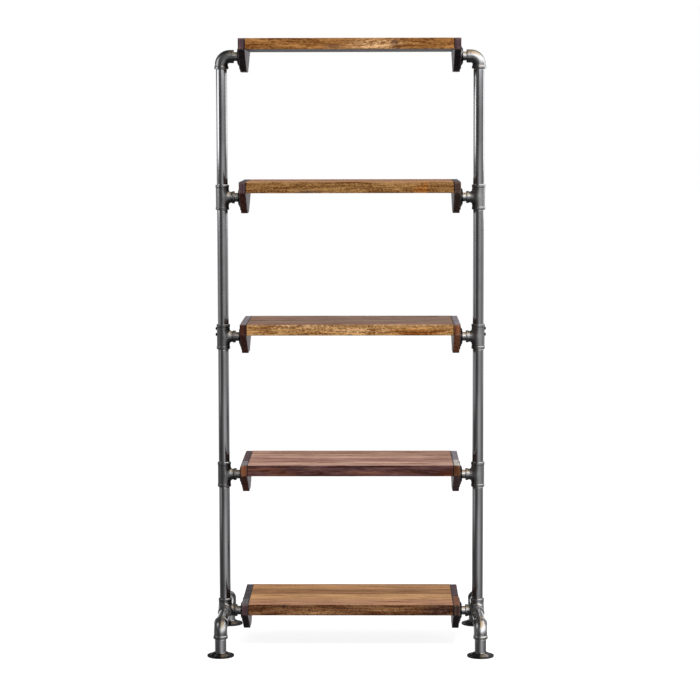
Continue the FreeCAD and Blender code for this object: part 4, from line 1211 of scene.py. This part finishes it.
class ETAGERE_OT_stage(PieceOperator):
    """Make the floor, the light and the camera"""

    bl_idname = "etagere.stage"
    bl_label = "Stage"

    def make(self):
        scene = bpy.context.scene
        sizes = scene.etagere_stage
        scene.view_settings.view_transform = "Standard"
        self.make_floor(sizes)
        self.make_world(sizes)
        for name, place, size, brightness, height in LAMPS:
            lamp = bpy.data.lights.new(name, "AREA")
            lamp.shape = "RECTANGLE"
            lamp.size, lamp.size_y = size
            lamp.energy = np.pi * size[0] * size[1] * getattr(sizes, brightness)
            holder = link_object(name, lamp)
            holder.location = place
            aim = Vector((0, 0, height)) - holder.location
            holder.rotation_euler = aim.to_track_quat("-Z", "Y").to_euler()
            holder.visible_camera = False
            holder.visible_glossy = name != "key"
        camera = bpy.data.cameras.new("camera")
        camera.lens = sizes.camera_lens
        camera.shift_y = sizes.camera_shift
        scene.camera = link_object("camera", camera)
        scene.camera.location = sizes.camera_place
        scene.camera.rotation_euler = Euler(sizes.camera_turn, "XYZ")

    def make_floor(self, sizes):
        reach = sizes.floor_reach
        mesh = bpy.data.meshes.new("floor")
        mesh.from_pydata([(-reach, -reach, 0), (reach, -reach, 0), (reach, reach, 0), (-reach, reach, 0)], [],
                         [(0, 1, 2, 3)])
        floor = link_object("floor", mesh)
        floor.visible_glossy = False
        material, graph = new_material("floor")
        seen = graph.product(graph.add("LightPath")["Is Camera Ray"], sizes.floor_glow)
        glow = graph.add("Emission", {"Color": (1, 1, 1, 1), "Strength": seen})[0]
        matt = graph.add("BsdfDiffuse", {"Color": opaque(sizes.floor_colour)})[0]
        graph.add("OutputMaterial", {"Surface": graph.add("AddShader", {0: glow, 1: matt})[0]})
        mesh.materials.append(material)

    def make_world(self, sizes):
        """White where the camera looks. All else sees the studio, by direction: a ramp round the compass,
        which goes over into the low ramp a little below the horizon, into the overhead light from a third of
        the way up, and into the dim light from below. Mirror rays above the horizon see the panel instead,
        which has a ramp by height on each side and is dark behind the object."""
        world = bpy.data.worlds.new("studio")
        bpy.context.scene.world = world
        graph = Graph(world)
        x, y, height = graph.add("SeparateXYZ", {0: graph.add("TexCoord")["Generated"]})
        compass = graph.maths("ARCTAN2", x, graph.product(y, -1.0))
        turn = graph.mapped(compass, -np.pi, np.pi, kind="LINEAR")
        sides = [graph.ramp(turn, [(0.5 + degrees / 360, (level,) * 3) for degrees, level in stops])
                 for stops in (STUDIO_SIDES, STUDIO_LOW_SIDES)]
        panels = [graph.ramp(height, [(place, linear(code)) for place, code in stops])
                  for stops in (PANEL_LEFT, PANEL_RIGHT)]
        studio = graph.mixed(graph.mapped(height, *LOW_BLEND), *sides)
        studio = graph.mixed(graph.mapped(height, *OVERHEAD_BLEND), studio, opaque((sizes.overhead,) * 3))
        studio = graph.mixed(graph.mapped(height, *BELOW_BLEND), studio, opaque(BELOW_LIGHT))
        panel = graph.mixed(graph.mapped(x, *RIGHT_BLEND), *panels)
        brightness = (sizes.panel_radiance,) * 3
        panel = graph.mixed(1.0, panel, (*brightness, 1.0), "MULTIPLY")
        behind = graph.product(graph.mapped(y, *BEHIND_BLEND), BEHIND_SHARE)
        panel = graph.mixed(behind, panel, opaque(BEHIND_LIGHT))
        path = graph.add("LightPath")
        mirrored = graph.product(path["Is Glossy Ray"], graph.mapped(height, *PANEL_BLEND))
        studio = graph.mixed(mirrored, studio, panel)
        colour = graph.mixed(path["Is Camera Ray"], studio, (1.0, 1.0, 1.0, 1.0))
        graph.add("OutputWorld", {"Surface": graph.add("Background", {"Color": colour, "Strength": 1.0})[0]})


OPERATORS = (ETAGERE_OT_stage, ETAGERE_OT_boards, ETAGERE_OT_end_plates, ETAGERE_OT_pipes,
             ETAGERE_OT_shelf_nipples, ETAGERE_OT_fittings, ETAGERE_OT_elbows, ETAGERE_OT_flanges,
             ETAGERE_OT_fasteners)
GROUPS = {"etagere_wood": EtagereWood, "etagere_metal": EtagereMetal, "etagere_stage": EtagereStage}


class ETAGERE_PT_pieces(bpy.types.Panel):
    """Lists the operators and the values that they use"""

    bl_idname = "ETAGERE_PT_pieces"
    bl_label = "Etagere"
    bl_space_type = "VIEW_3D"
    bl_region_type = "UI"
    bl_category = "Etagere"

    def draw(self, context):
        for operator in OPERATORS:
            self.layout.operator(operator.bl_idname)
        for group in (getattr(context.scene, name) for name in GROUPS):
            box = self.layout.box()
            for name in group.bl_rna.properties.keys():
                if name not in ("rna_type", "name"):
                    box.prop(group, name)


def register():
    for cls in (*GROUPS.values(), *OPERATORS, ETAGERE_PT_pieces):
        bpy.utils.register_class(cls)
    for name, group in GROUPS.items():
        setattr(bpy.types.Scene, name, bpy.props.PointerProperty(type=group))


def unregister():
    for name in GROUPS:
        delattr(bpy.types.Scene, name)
    for cls in (ETAGERE_PT_pieces, *reversed(OPERATORS), *reversed(GROUPS.values())):
        bpy.utils.unregister_class(cls)


def main():
    register()
    for operator in OPERATORS:
        group, name = operator.bl_idname.split(".")
        getattr(getattr(bpy.ops, group), name)()


if __name__ == "__main__":
    main()
